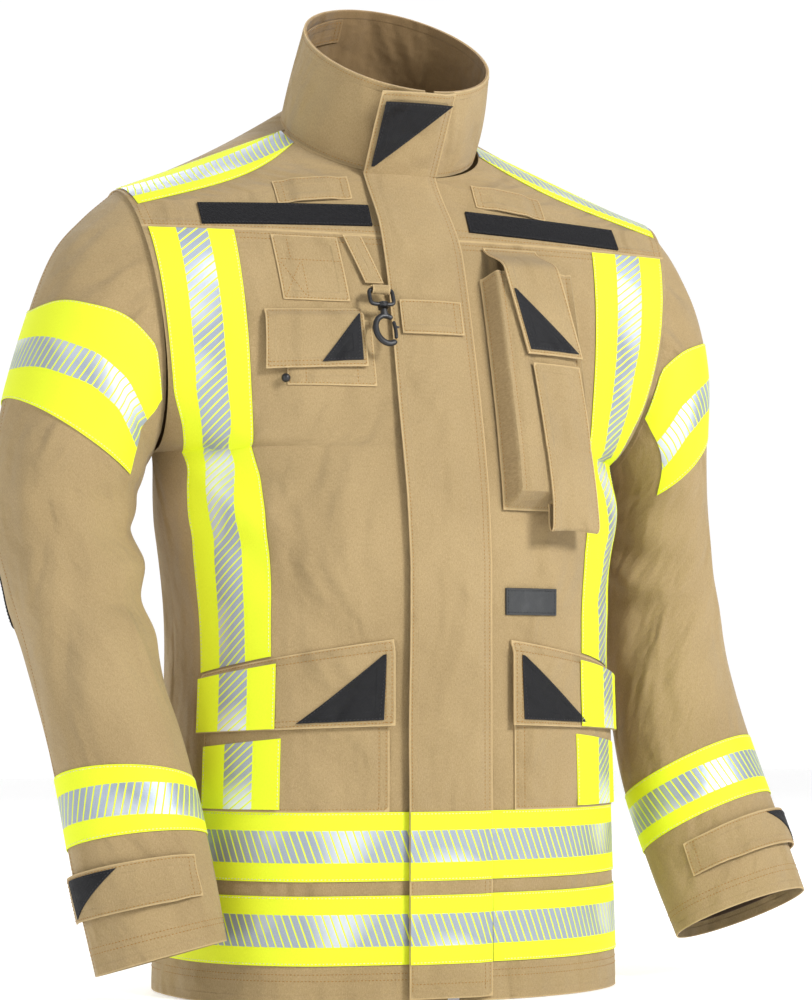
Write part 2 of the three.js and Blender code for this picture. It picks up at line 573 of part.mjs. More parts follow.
for (const [name, z] of [['upper', HEM_BAND_HIGH_Z], ['lower', HEM_BAND_LOW_Z]]) {
  const band = (u, v) => onMiddle(lerp(FLAP_FREE_X + 1, FLAP_SEAM_X - 8, u), z + BAND_WIDTH * v);
  const height = FLAP_STAND + 2 * CLOTH + LAYER_GAP;
  add(`storm_flap_band_${name}`, sheet(band, 4, 1, height, height + TAPE), 'tape');
}

const GRIP = { from: -43, to: 22, low: 783, high: 838 };
const grip = (u, v) => onMiddle(lerp(GRIP.from, lerp(GRIP.from + 6, GRIP.to, v), u), lerp(GRIP.low, GRIP.high, v));
const overFlap = FLAP_STAND + 2 * CLOTH + LAYER_GAP;
add('storm_flap_grip', sheet(grip, 3, 2, overFlap, overFlap + TAPE), 'black');

const TAB = { from: -36, to: 25, low: 609, high: 641 };
const tab = (u, v) => onMiddle(lerp(TAB.from, TAB.to, u), lerp(TAB.low, TAB.high, v));
add('storm_flap_tab', sheet(tab, 4, 2, overFlap, overFlap + CLOTH), 'cloth');

const CLOSURE = { from: -38, to: -16, low: 40, thick: 1.0 };
const loopStrip = (low, high) => (u, v) => onMiddle(lerp(CLOSURE.from, CLOSURE.to, u), lerp(low, high, v));
const loopHeight = CLOTH + 2 * SEWN;
const panelStrip = sheet(loopStrip(CLOSURE.low, YOKE_Z - 12), 1, 14, loopHeight, loopHeight + CLOSURE.thick);
add('flap_loop_strip', panelStrip, 'hookTape');
const hookHeight = CLOTH + FLAP_STAND - 0.5 - CLOSURE.thick;
const flapStrip = sheet(loopStrip(CLOSURE.low, FLAP_SPLIT_Z - 10), 1, 4, hookHeight, hookHeight + CLOSURE.thick);
add('flap_hook_strip', flapStrip, 'hookTape');

const ZIP_LOW_Z = SLIDER_Z + SLIDER_LENGTH + 4;
for (const [name, side] of sides) {
  const half = (u, v) => onMiddle(side * lerp(CHAIN_INNER, ZIP_TAPE_WIDTH, u), lerp(ZIP_LOW_Z, NECK_FRONT.z - 6, v));
  const bead = (u) => 1 - smoothstep(0.16, 0.3, u);
  const low = (u) => -3.6 - bead(u) * 0.6;
  const high = (u) => -2.6 + bead(u) * 1.2;
  add(`zip_tape_${name}`, sheet(half, 5, 14, low, high, { out: side }), 'zip');
}

// The slider is two plates and a web that runs between the two halves of the chain.
const PLATE = { width: 11, thick: 1.6 };
const CHANNEL = { back: -4.9, front: -0.7 };
const plate = (height) => {
  const geometry = new THREE.BoxGeometry(PLATE.width, PLATE.thick, SLIDER_LENGTH);
  geometry.translate(0, -BELLY_DEPTH - height, SLIDER_Z + SLIDER_LENGTH / 2);
  return geometry;
};
const web = new THREE.BoxGeometry(2 * (CHAIN_INNER - 0.5), CHANNEL.front - CHANNEL.back + PLATE.thick, SLIDER_LENGTH);
web.translate(0, -BELLY_DEPTH - (CHANNEL.front + CHANNEL.back) / 2, SLIDER_Z + SLIDER_LENGTH / 2);
const frontPlate = plate(CHANNEL.front + PLATE.thick / 2);
const backPlate = plate(CHANNEL.back - PLATE.thick / 2);
add('zip_slider', join(frontPlate, web, backPlate), 'zip');

const PULL = { width: 7, length: 22, thick: 1.4, hole: 2 };
const pullShape = new THREE.Shape();
pullShape.moveTo(-PULL.width / 2, -PULL.length);
pullShape.lineTo(PULL.width / 2, -PULL.length);
pullShape.lineTo(PULL.width / 2, 0);
pullShape.lineTo(-PULL.width / 2, 0);
const pullHole = new THREE.Path();
pullHole.absarc(0, -PULL.length + 4, PULL.hole, 0, 2 * Math.PI, true);
pullShape.holes.push(pullHole);
const pullTab = new THREE.ExtrudeGeometry(pullShape, { depth: PULL.thick, bevelEnabled: false, curveSegments: 6 });
pullTab.rotateX(Math.PI / 2);
const pullFront = BELLY_DEPTH + CHANNEL.front + PLATE.thick + 0.4;
pullTab.translate(0, -pullFront, SLIDER_Z + SLIDER_LENGTH - 4);
add('zip_pull_tab', pullTab, 'zip');

// ---- Snap hook ---------------------------------------------------------------------------------
const HOOK = { x: -57, z: 652, tilt: 24, stand: 16, thick: 5 };
const EYE = { width: 27, height: 16, bar: 3.6 };
const hookPivot = new THREE.Group();
hookPivot.position.set(HOOK.x, onFront(-HOOK.x, HOOK.z).y - HOOK.stand, HOOK.z);
hookPivot.rotation.x = -THREE.MathUtils.degToRad(HOOK.tilt);
jacket.add(hookPivot);

function plateOf(shape, thick) {
  const geometry = new THREE.ExtrudeGeometry(shape, { depth: thick, bevelEnabled: false, curveSegments: 8 });
  geometry.translate(0, 0, -thick / 2);
  geometry.rotateX(Math.PI / 2);
  return geometry;
}

function roundedBox(width, low, high, radius) {
  const shape = new THREE.Shape();
  const x = width / 2;
  shape.moveTo(-x + radius, low);
  shape.lineTo(x - radius, low);
  shape.absarc(x - radius, low + radius, radius, -Math.PI / 2, 0, false);
  shape.lineTo(x, high - radius);
  shape.absarc(x - radius, high - radius, radius, 0, Math.PI / 2, false);
  shape.lineTo(-x + radius, high);
  shape.absarc(-x + radius, high - radius, radius, Math.PI / 2, Math.PI, false);
  shape.lineTo(-x, low + radius);
  shape.absarc(-x + radius, low + radius, radius, Math.PI, 1.5 * Math.PI, false);
  return shape;
}

// The eye hangs in the strap: a rounded frame with a round boss below it.
const eyeShape = roundedBox(EYE.width, -EYE.height, EYE.bar / 2, 4);
const eyeHole = roundedBox(EYE.width - 2 * EYE.bar, -EYE.height + EYE.bar, -EYE.bar / 2, 2);
eyeShape.holes.push(new THREE.Path(eyeHole.getPoints(6).reverse()));
const BOSS = { radius: 4.6, length: 6 };
const boss = new THREE.CylinderGeometry(BOSS.radius, BOSS.radius, BOSS.length, 14);
boss.rotateX(Math.PI / 2);
boss.translate(0, 0, -EYE.height - BOSS.length / 2 + 1.5);
add('hook_eye', join(plateOf(eyeShape, EYE.bar), boss), 'plastic', hookPivot);

// The hook is an oval that is open on its right, where the gate closes it.
const OVAL = { x: 13.5, z: 17, bar: 4.6, top: -EYE.height - BOSS.length - 1 };
const ovalMiddle = OVAL.top - 3 - OVAL.z;
const GATE_HALF_DEG = 52;
const bodyShape = new THREE.Shape();
const openFrom = THREE.MathUtils.degToRad(GATE_HALF_DEG);
bodyShape.absellipse(0, ovalMiddle, OVAL.x, OVAL.z, openFrom, 2 * Math.PI - openFrom, false, 0);
bodyShape.absellipse(0, ovalMiddle, OVAL.x - OVAL.bar, OVAL.z - OVAL.bar, 2 * Math.PI - openFrom, openFrom, true, 0);
const neckStub = new THREE.CylinderGeometry(3.2, 3.2, 5.2, 12);
neckStub.rotateX(Math.PI / 2);
neckStub.translate(0, 0, OVAL.top - 1.6);
add('hook_body', join(plateOf(bodyShape, HOOK.thick), neckStub), 'plastic', hookPivot);

const gateX = (OVAL.x - OVAL.bar / 2) * Math.cos(openFrom);
const gateHalf = (OVAL.z - OVAL.bar / 2) * Math.sin(openFrom) - 2.4;
const gateShape = roundedBox(3.2, ovalMiddle - gateHalf, ovalMiddle + gateHalf, 1.4);
const gate = plateOf(gateShape, HOOK.thick - 1);
const thumb = new THREE.BoxGeometry(5, HOOK.thick - 2, 2.4);
thumb.translate(3, 0, ovalMiddle + gateHalf * 0.35);
add('hook_gate', join(gate, thumb).translate(gateX + 0.6, 0, 0), 'plastic', hookPivot);

const HOOK_STRAP = { top: YOKE_Z - 3, bottom: 658, width: 18, from: 65 };
const hookStrap = (u, v) => {
  const x = HOOK_STRAP.from - 17 * (1 - v) + HOOK_STRAP.width * u;
  return mirrored(-1, onFront(x, lerp(HOOK_STRAP.bottom, HOOK_STRAP.top, v)));
};
const strapOver = OVER_CLOTH + CLOTH + SEWN;
add('hook_strap', sheet(hookStrap, 2, 4, strapOver, strapOver + CLOTH, { out: -1 }), 'cloth');

// The jacket is built about its own middle line, and then set down with the middle of its box at
// the origin.
jacket.updateMatrixWorld(true);
const whole = new THREE.Box3().setFromObject(jacket);
jacket.position.set(-(whole.min.x + whole.max.x) / 2, -(whole.min.y + whole.max.y) / 2, -whole.min.z);

export default jacket;
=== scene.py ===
# A firefighter's turnout jacket, standing on its hem as if it were worn. Lengths are in millimetres
# from the jacket's own middle line until metres() puts them in the frame.
import json
import math

import bpy
import numpy as np
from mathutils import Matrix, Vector


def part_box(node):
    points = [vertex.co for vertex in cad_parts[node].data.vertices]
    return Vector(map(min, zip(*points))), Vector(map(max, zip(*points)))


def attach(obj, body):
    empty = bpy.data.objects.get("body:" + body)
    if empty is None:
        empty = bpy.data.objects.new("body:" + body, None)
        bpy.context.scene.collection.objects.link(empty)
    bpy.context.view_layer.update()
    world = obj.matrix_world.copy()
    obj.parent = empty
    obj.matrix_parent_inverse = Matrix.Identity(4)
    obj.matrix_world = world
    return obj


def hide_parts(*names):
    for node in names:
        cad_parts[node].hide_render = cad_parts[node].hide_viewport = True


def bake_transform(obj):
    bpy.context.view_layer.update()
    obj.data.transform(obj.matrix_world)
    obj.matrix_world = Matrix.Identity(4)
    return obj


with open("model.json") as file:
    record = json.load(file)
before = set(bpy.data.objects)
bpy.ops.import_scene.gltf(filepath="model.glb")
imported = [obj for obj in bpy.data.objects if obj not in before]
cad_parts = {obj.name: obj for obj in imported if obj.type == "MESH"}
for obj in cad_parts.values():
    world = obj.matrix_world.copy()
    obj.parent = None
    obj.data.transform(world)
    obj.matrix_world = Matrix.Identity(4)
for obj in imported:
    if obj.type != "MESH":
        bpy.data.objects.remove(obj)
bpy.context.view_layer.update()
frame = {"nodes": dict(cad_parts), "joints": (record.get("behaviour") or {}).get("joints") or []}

# ---- Camera -----------------------------------------------------------------------------------
# The camera stands to the right of the wearer's front, at hip height, with a long lens, and looks a
# little upwards at the chest.
CAMERA_YAW = math.radians(22.4)
CAMERA_AWAY = 2800
CAMERA_HEIGHT = 288
CAMERA_LENS = 104.2
CAMERA_AIM = (22, 0, 466)
FRONT_OF_HEM = 164.6

middle_x = sum(corner.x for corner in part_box("collar_shell")) / 2
middle_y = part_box("left_front_panel")[0].y + FRONT_OF_HEM / 1000
MIDDLE = np.array([middle_x, middle_y, 0])


def metres(points):
    """Millimetres from the jacket's middle line, divided by a thousand and moved into the frame."""
    return np.asarray(points, float) / 1000 + MIDDLE


camera = bpy.data.objects.new("camera", bpy.data.cameras.new("camera"))
bpy.context.scene.collection.objects.link(camera)
away = [-math.sin(CAMERA_YAW) * CAMERA_AWAY, -math.cos(CAMERA_YAW) * CAMERA_AWAY, CAMERA_HEIGHT]
camera.location = metres(away)
camera.rotation_euler = (Vector(metres(CAMERA_AIM)) - camera.location).to_track_quat("-Z", "Y").to_euler()
camera.data.lens = CAMERA_LENS
camera.data.sensor_width = 36
bpy.context.scene.camera = camera

# ---- Studio -----------------------------------------------------------------------------------
# A pale floor, a white backdrop and three soft lamps: one high in front on the right, a weaker one
# on the left and one behind that lifts the shoulders off the backdrop.
bpy.ops.mesh.primitive_plane_add(size=40, location=(0, 0, -0.0005))
floor = bpy.context.object
floor.name = "floor"

bpy.ops.mesh.primitive_plane_add(size=40, location=(0, 6, 0), rotation=(math.pi / 2, 0, 0))
backdrop = bpy.context.object
backdrop.name = "backdrop"
for plane, name, grey, studio_and_painted_glow in ((floor, "pale_paper", 0.86, 0.35), (backdrop, "white_backdrop", 0, 1.0)):
    paper = bpy.data.materials.new(name)
    paper.use_nodes = True
    shader = paper.node_tree.nodes["Principled BSDF"]
    shader.inputs["Base Color"].default_value = (grey, grey, grey, 1)
    shader.inputs["Roughness"].default_value = 0.9 if grey else 0.5
    shader.inputs["Emission Color"].default_value = (1, 1, 1, 1)
    shader.inputs["Emission Strength"].default_value = studio_and_painted_glow
    plane.data.materials.append(paper)

world = bpy.data.worlds.new("studio")
bpy.context.scene.world = world
world.use_nodes = True
world.node_tree.nodes["Background"].inputs["Color"].default_value = (1, 1, 1, 1)
world.node_tree.nodes["Background"].inputs["Strength"].default_value = 0.34
bpy.context.scene.view_settings.view_transform = "Standard"

for lamp, place, size, watts in [
    ("key", (1.3, -2.7, 2.1), 0.8, 98),
    ("fill", (-2.6, -1.5, 1.2), 1.6, 19),
    ("rim_light", (0.2, 2.6, 2.6), 1.8, 40),
]:
    light = bpy.data.objects.new(lamp, bpy.data.lights.new(lamp, "AREA"))
    light.data.size = size
    light.data.energy = watts
    light.location = place
    light.rotation_euler = (Vector((0, 0, 0.5)) - light.location).to_track_quat("-Z", "Y").to_euler()
    bpy.context.scene.collection.objects.link(light)

# ---- Shell cloth ------------------------------------------------------------------------------
# The shell is a tan aramid twill about a millimetre thick. Its warp shows as fine slanting ribs, and
# every sewn edge is turned under, so it is thicker there and carries a painted highlight on the fold.
CLOTH = 1.2
TAN = (0.465, 0.34, 0.172, 1)
TAN_DARK = (0.27, 0.187, 0.083, 1)
TURNED_EDGE = 0.009
RUMPLE_DEPTH, EDGE_DEPTH, RIB_DEPTH = 0.028, 0.0006, 0.00035


def node(tree, kind, inputs=(), **settings):
    """Adds a shader node, sets its settings, and sets or links each named or numbered input."""
    made = tree.nodes.new(kind)
    for key, value in settings.items():
        setattr(made, key, value)
    for key, value in dict(inputs).items():
        if isinstance(value, bpy.types.NodeSocket):
            tree.links.new(value, made.inputs[key])
        else:
            made.inputs[key].default_value = value
    return made


def sums(tree, operation, a, b=0.0, c=0.0):
    """One Math node's result for up to three values or sockets."""
    return node(tree, "ShaderNodeMath", {0: a, 1: b, 2: c}, operation=operation).outputs[0]


def mixed(tree, share, low, high):
    """A colour between two, by a share from 0 to 1."""
    return node(tree, "ShaderNodeMix", {0: share, 6: low, 7: high}, data_type="RGBA").outputs[2]


def bumped(tree, height, strength, distance, under=None):
    """A bump normal, laid over the normal under it if there is one."""
    given = {"Height": height, "Strength": strength, "Distance": distance}
    if under is not None:
        given["Normal"] = under
    return node(tree, "ShaderNodeBump", given).outputs[0]


def ramp(tree, value, start, end, low=0.0, high=1.0):
    """A value that goes from low to high while another goes from start to end."""
    stations = {"Value": value, "From Min": start, "From Max": end, "To Min": low, "To Max": high}
    return node(tree, "ShaderNodeMapRange", stations).outputs[0]


def blank_material(name):
    """A new material with its node tree and its shader."""
    made = bpy.data.materials.new(name)
    made.use_nodes = True
    return made, made.node_tree, made.node_tree.nodes["Principled BSDF"]


def group(name, sockets_in, sockets_out):
    """A shader node group with its input and output nodes, ready to be filled."""
    tree = bpy.data.node_groups.new(name, "ShaderNodeTree")
    for label, kind, value in sockets_in:
        socket = tree.interface.new_socket(name=label, in_out="INPUT", socket_type=kind)
        if value is not None:
            socket.default_value = value
    for label, kind in sockets_out:
        tree.interface.new_socket(name=label, in_out="OUTPUT", socket_type=kind)
    return tree, tree.nodes.new("NodeGroupInput").outputs, tree.nodes.new("NodeGroupOutput")


FLOAT, VECTOR = "NodeSocketFloat", "NodeSocketVector"

twill, given, result = group(
    "twill_weave",
    [("Cloth", VECTOR, None), ("Ribs", FLOAT, 900.0), ("Fibre", FLOAT, 1300.0)],
    [("Height", FLOAT), ("Tone", FLOAT)],
)
place = node(twill, "ShaderNodeSeparateXYZ", {0: given["Cloth"]}).outputs
slant = sums(twill, "MULTIPLY", sums(twill, "ADD", place["X"], place["Y"]), given["Ribs"])
rib = sums(twill, "SINE", sums(twill, "MULTIPLY", slant, 2 * math.pi))
fibre = node(twill, "ShaderNodeTexNoise", {"Vector": given["Cloth"], "Scale": given["Fibre"], "Detail": 2.0})
body_tone = node(twill, "ShaderNodeTexNoise", {"Vector": given["Cloth"], "Scale": 9.0, "Detail": 3.0})
slubs = node(twill, "ShaderNodeMapping", {"Vector": given["Cloth"], "Scale": (820, 380, 1)}).outputs[0]
slub = node(twill, "ShaderNodeTexNoise", {"Vector": slubs, "Scale": 1.0, "Detail": 2.0}).outputs["Fac"]
height = sums(twill, "MULTIPLY_ADD", rib, 0.25, sums(twill, "ADD", fibre.outputs["Fac"], slub))
twill.links.new(height, result.inputs["Height"])
fine = sums(twill, "MULTIPLY_ADD", sums(twill, "SUBTRACT", fibre.outputs["Fac"], 0.5), 1.2, 0.5)
fine = sums(twill, "MULTIPLY_ADD", sums(twill, "SUBTRACT", slub, 0.5), 0.9, fine)
broad = sums(twill, "MULTIPLY_ADD", sums(twill, "SUBTRACT", body_tone.outputs["Fac"], 0.5), 0.7, fine)
twill.links.new(broad, result.inputs["Tone"])

turned, given, result = group(
    "turned_edge",
    [("Edge", FLOAT, 1.0), ("Cloth", VECTOR, None), ("Width", FLOAT, TURNED_EDGE)],
    [("Height", FLOAT), ("Fold highlight", FLOAT)],
)
pucker = node(turned, "ShaderNodeTexNoise", {"Vector": given["Cloth"], "Scale": 120.0, "Detail": 1.0})
near = sums(turned, "SUBTRACT", 1.0, sums(turned, "DIVIDE", given["Edge"], given["Width"]))
plump = sums(turned, "MULTIPLY", near, 8.0)
plump = node(turned, "ShaderNodeClamp", {0: plump}).outputs[0]
puckered = sums(turned, "MULTIPLY", plump, pucker.outputs["Fac"])
turned.links.new(sums(turned, "MULTIPLY_ADD", puckered, 0.9, plump), result.inputs["Height"])
# This mask is 1 at the very edge and fades out within 1.6 mm: it marks where a highlight is painted on the
# fold.
turned.links.new(ramp(turned, given["Edge"], 0.0004, 0.0016, 1.0, 0.0), result.inputs["Fold highlight"])

rumpled, given, result = group("rumpled_cloth", [("Cloth", VECTOR, None)], [("Height", FLOAT)])
drape = node(rumpled, "ShaderNodeMapping", {"Vector": given["Cloth"], "Scale": (15, 6, 1)}).outputs[0]
drape = node(rumpled, "ShaderNodeTexNoise", {"Vector": drape, "Scale": 1.0, "Detail": 2.0, "Distortion": 0.6})
crease = node(rumpled, "ShaderNodeTexNoise", {"Vector": given["Cloth"], "Scale": 34.0, "Detail": 2.0})
both = sums(rumpled, "MULTIPLY_ADD", crease.outputs["Fac"], 0.22, drape.outputs["Fac"])
rumpled.links.new(both, result.inputs["Height"])


def woven(name, light, dark, roughness=0.88, sheen=0.12, ribs=900.0, bump=0.5):
    """A twill with its ribs, fibres, broad tone and turned edges, in two shades of one colour, with a painted
    highlight along the fold of each turned edge.
    """
    material, tree, shader = blank_material(name)
    cloth = node(tree, "ShaderNodeUVMap", uv_map="cloth").outputs[0]
    edge = node(tree, "ShaderNodeAttribute", attribute_name="edge").outputs["Fac"]
    weave = node(tree, "ShaderNodeGroup", node_tree=twill)
    tree.links.new(cloth, weave.inputs["Cloth"])
    weave.inputs["Ribs"].default_value = ribs
    rim = node(tree, "ShaderNodeGroup", node_tree=turned)
    tree.links.new(cloth, rim.inputs["Cloth"])
    tree.links.new(edge, rim.inputs["Edge"])
    shade = mixed(tree, weave.outputs["Tone"], dark, light)
    # A paler copy of the light tone is painted along each fold as a painted highlight.
    pale = tuple(min(1, c * 1.35) for c in light[:3]) + (1,)
    lit = sums(tree, "MULTIPLY", rim.outputs["Fold highlight"], 0.6)
    colour = mixed(tree, lit, shade, pale)
    tree.links.new(colour, shader.inputs["Base Color"])
    shader.inputs["Roughness"].default_value = roughness
    shader.inputs["Sheen Weight"].default_value = sheen
    shader.inputs["Sheen Roughness"].default_value = 0.6
    shader.inputs["Specular IOR Level"].default_value = 0.25
    rumple = node(tree, "ShaderNodeGroup", node_tree=rumpled)
    tree.links.new(cloth, rumple.inputs["Cloth"])
    soft = bumped(tree, rumple.outputs["Height"], 0.75, RUMPLE_DEPTH)
    ridge = bumped(tree, rim.outputs["Height"], 0.5, EDGE_DEPTH, soft)
    tree.links.new(bumped(tree, weave.outputs["Height"], bump, RIB_DEPTH, ridge), shader.inputs["Normal"])
    return material


def thread(name, colour):
    """Twisted sewing thread: two tones of its colour in fine slanting bands."""
    material, tree, shader = blank_material(name)
    where = node(tree, "ShaderNodeTexCoord").outputs["Object"]
    ply = node(tree, "ShaderNodeTexWave", {"Vector": where, "Scale": 700.0}, bands_direction="DIAGONAL")
    dark = tuple(c * 0.6 for c in colour[:3]) + (1,)
    mix = mixed(tree, ply.outputs["Fac"], dark, colour)
    tree.links.new(mix, shader.inputs["Base Color"])
    shader.inputs["Roughness"].default_value = 0.7
    return material


tan_twill = woven("tan_twill", TAN, TAN_DARK)
golden_thread = thread("golden_thread", (0.40, 0.185, 0.02, 1))

STITCH_PITCH = 3.4
STITCH_LONG = 2.6
STITCH_THICK = 0.42


def make_mesh(name, points, faces, smooth_below=40):
    """A mesh object from points in millimetres and faces, with smooth shading below an angle in degrees."""
    mesh = bpy.data.meshes.new(name)
    mesh.from_pydata(metres(points).tolist(), [], faces.tolist())
    mesh.polygons.foreach_set("use_smooth", np.ones(len(mesh.polygons), bool))
    mesh.set_sharp_from_angle(angle=math.radians(smooth_below))
    made = bpy.data.objects.new(name, mesh)
    bpy.context.scene.collection.objects.link(made)
    return made


def follow(piece, held_by):
    """The piece rides on one body when held_by names one; given (body, body, start, end), it only has its
    place baked into its points and rides on no body.
    """
    if isinstance(held_by, str):
        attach(piece, held_by)
    else:
        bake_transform(piece)


def normals_of(base, u, v, out):
    """Unit normals of a surface: the cross product of its two tangents by small steps of u and v."""
    step = 1e-3
    across = base(u + step, v) - base(u - step, v)
    along = base(u, np.clip(v + step, 0, 1)) - base(u, np.clip(v - step, 0, 1))
    normal = np.cross(across, along) * out
    return normal / np.maximum(np.linalg.norm(normal, axis=-1, keepdims=True), 1e-9)


def stitches(name, lines, held_by, material):
    """Rows of thread. Each line of points and normals is walked at the stitch pitch, and each stitch
    is a slim double pyramid whose ends sink in and whose middle stands over the cloth."""
    starts, ends, ups = [], [], []
    for points, normals in lines:
        run = np.concatenate([[0], np.cumsum(np.linalg.norm(np.diff(points, axis=0), axis=1))])
        first = np.arange(STITCH_PITCH / 2, run[-1] - STITCH_LONG, STITCH_PITCH)
        for store, at in ((starts, first), (ends, first + STITCH_LONG)):
            store.append(np.stack([np.interp(at, run, points[:, k]) for k in range(3)], 1))
        ups.append(np.stack([np.interp(first, run, normals[:, k]) for k in range(3)], 1))
    a, b, up = (np.concatenate(part) for part in (starts, ends, ups))
    if not len(a):
        return
    side = np.cross(b - a, up)
    side /= np.maximum(np.linalg.norm(side, axis=1, keepdims=True), 1e-9)
    mid = (a + b) / 2
    top, low = mid + up * STITCH_THICK, mid - up * STITCH_THICK * 0.6
    right, left = mid + side * STITCH_THICK, mid - side * STITCH_THICK
    rows = np.stack([a - up * 0.2, top, right, low, left, b - up * 0.2], 1)
    pattern = [[0, 2, 1], [0, 3, 2], [0, 4, 3], [0, 1, 4], [5, 1, 2], [5, 2, 3], [5, 3, 4], [5, 4, 1]]
    faces = (np.arange(len(a))[:, None, None] * 6 + pattern).reshape(-1, 3)
    made = make_mesh(name, rows.reshape(-1, 3), faces, 60)
    made.data.materials.append(material)
    follow(made, held_by)


def cloth_sheet(name, base, cells, low, high, held_by, material, stands_for=(), out=1,
                ring=False, sewn=(), thread_of=golden_thread, border="uv"):
    """A sheet of cloth with two faces and a rim. base(u, v) is its surface over a grid of cells, low
    and high are the heights of its faces along the normal, a ring closes along u, and sewn lists its
    rows of stitches: (side, inset) along a border or a pair of (u, v) corners."""
    nu, nv = cells
    u, v = np.meshgrid(np.linspace(0, 1, nu + 1), np.linspace(0, 1, nv + 1))
    middle = base(u, v)
    normal = normals_of(base, u, v, out)
    height = [h(u, v)[..., None] if callable(h) else h for h in (low, high)]
    layers = [middle + normal * h for h in height]
    along_u = np.linalg.norm(np.diff(middle, axis=1), axis=2)
    along_v = np.linalg.norm(np.diff(middle, axis=0), axis=2)
    x = np.concatenate([np.zeros((nv + 1, 1)), np.cumsum(along_u, 1)], 1)
    y = np.concatenate([np.zeros((1, nu + 1)), np.cumsum(along_v, 0)], 0)
    edge = np.full_like(x, 1000.0)
    if "u" in border and not ring:
        edge = np.minimum(edge, np.minimum(x, x[:, -1:] - x))
    if "v" in border:
        edge = np.minimum(edge, np.minimum(y, y[-1:] - y))
    columns = nu if ring else nu + 1
    number = np.arange((nv + 1) * columns).reshape(nv + 1, columns)
    grid = np.concatenate([number, number[:, :1]], 1) if ring else number
    spread = np.arange((nv + 1) * (nu + 1)).reshape(nv + 1, nu + 1)
    lift, over = number.size, spread.size

    def quads(a, b, c, d):
        return np.stack([a, b, c, d], -1).reshape(-1, 4)

    def walls(g, step):
        found = [
            quads(g[:-1, :-1] + step, g[:-1, 1:] + step, g[1:, 1:] + step, g[1:, :-1] + step),
            quads(g[:-1, :-1], g[1:, :-1], g[1:, 1:], g[:-1, 1:]),
            quads(g[0, :-1], g[0, 1:], g[0, 1:] + step, g[0, :-1] + step),
            quads(g[-1, :-1], g[-1, :-1] + step, g[-1, 1:] + step, g[-1, 1:]),
        ]
        if not ring:
            found += [
                quads(g[:-1, 0], g[:-1, 0] + step, g[1:, 0] + step, g[1:, 0]),
                quads(g[:-1, -1] + step, g[:-1, -1], g[1:, -1], g[1:, -1] + step),
            ]
        return np.concatenate(found)

    faces, loops = walls(grid, lift), walls(spread, over)
    if out < 0:
        faces, loops = faces[:, ::-1], loops[:, ::-1]
    points = np.concatenate([layer[:, :columns].reshape(-1, 3) for layer in layers])
    piece = make_mesh(name, points, faces)
    piece.data.materials.append(material)
    uv = piece.data.uv_layers.new(name="cloth")
    even_x = np.broadcast_to(x.mean(0), x.shape) if material.get("runs") == "x" else x
    even_y = np.broadcast_to(y.mean(1)[:, None], y.shape) if material.get("runs") == "y" else y
    flat = np.stack([even_x - even_x[:, -1:] / 2, even_y - even_y[-1:] / 2], -1).reshape(-1, 2) / 1000
    uv.data.foreach_set("uv", np.concatenate([flat, flat])[loops.reshape(-1)].astype(np.float32).ravel())
    mark = piece.data.attributes.new("edge", "FLOAT", "POINT")
    mark.data.foreach_set("value", np.tile(edge[:, :columns].ravel() / 1000, 2).astype(np.float32))
    if stands_for:
        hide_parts(*stands_for)
    follow(piece, held_by)
    lines = []
    for row in sewn:
        if isinstance(row[0], str):
            share = row[1] / (x[:, -1].mean() if row[0][0] == "u" else y[-1].mean())
            share = 1 - share if row[0][1] == "1" else share
            t = np.linspace(0.006, 0.994, 160)
            su, sv = (np.full_like(t, share), t) if row[0][0] == "u" else (t, np.full_like(t, share))
        else:
            t = np.linspace(0, 1, 60)
            su, sv = (row[0][k] + (row[1][k] - row[0][k]) * t for k in range(2))
        up = normals_of(base, su, sv, out)
        top = (high(su, sv)[..., None] if callable(high) else high) + 0.12
        lines.append((base(su, sv) + up * top, up))
    if lines:
        stitches(name + "_stitching", lines, held_by, thread_of)
    return piece


# ---- Front panels -----------------------------------------------------------------------------
# Two shaped panels run from the hem to the yoke seam, one each side of the zip. They bow out over
# the belly, pull in at the waist and curve over the chest into the armholes.
BELLY_DEPTH, CHEST_DEPTH, YOKE_DEPTH, YOKE_Z = 163, 130, 92, 707
ARMHOLE = {"x": 256, "lean": 20, "z": 626.5, "rise": 121.5, "front": 88, "back": 78}
ARMPIT_Z = ARMHOLE["z"] - ARMHOLE["rise"]
NECK = {"half": 96, "depth": 80, "y": 20, "z": 823.5, "slope": 51.7}
RIM = {"half": 90, "depth": 81, "y": -29, "z": 901, "slope": 56}
ZIP_STRAIGHT_Z = 400
ZIP_HALF_GAP = 6
BELLY_ROUNDNESS, CHEST_FLATNESS = 0.83, 2.6
BELLY_TOP_Z, CHEST_LOW_Z = 430, 580

half_widths = [(0, 222), (10, 222), (200, 216), (350, 214), (ARMPIT_Z, ARMHOLE["x"] - ARMHOLE["lean"])]
front_depths = [(0, BELLY_DEPTH), (390, BELLY_DEPTH), (ZIP_STRAIGHT_Z, BELLY_DEPTH), (475, 155),
                (583, CHEST_DEPTH), (YOKE_Z, YOKE_DEPTH), (NECK["z"] - NECK["slope"], 60)]
back_depths = [(0, 158), (10, 158), (200, 150), (400, 140), (ARMPIT_Z, 132), (ARMHOLE["z"], 120), (720, 104)]

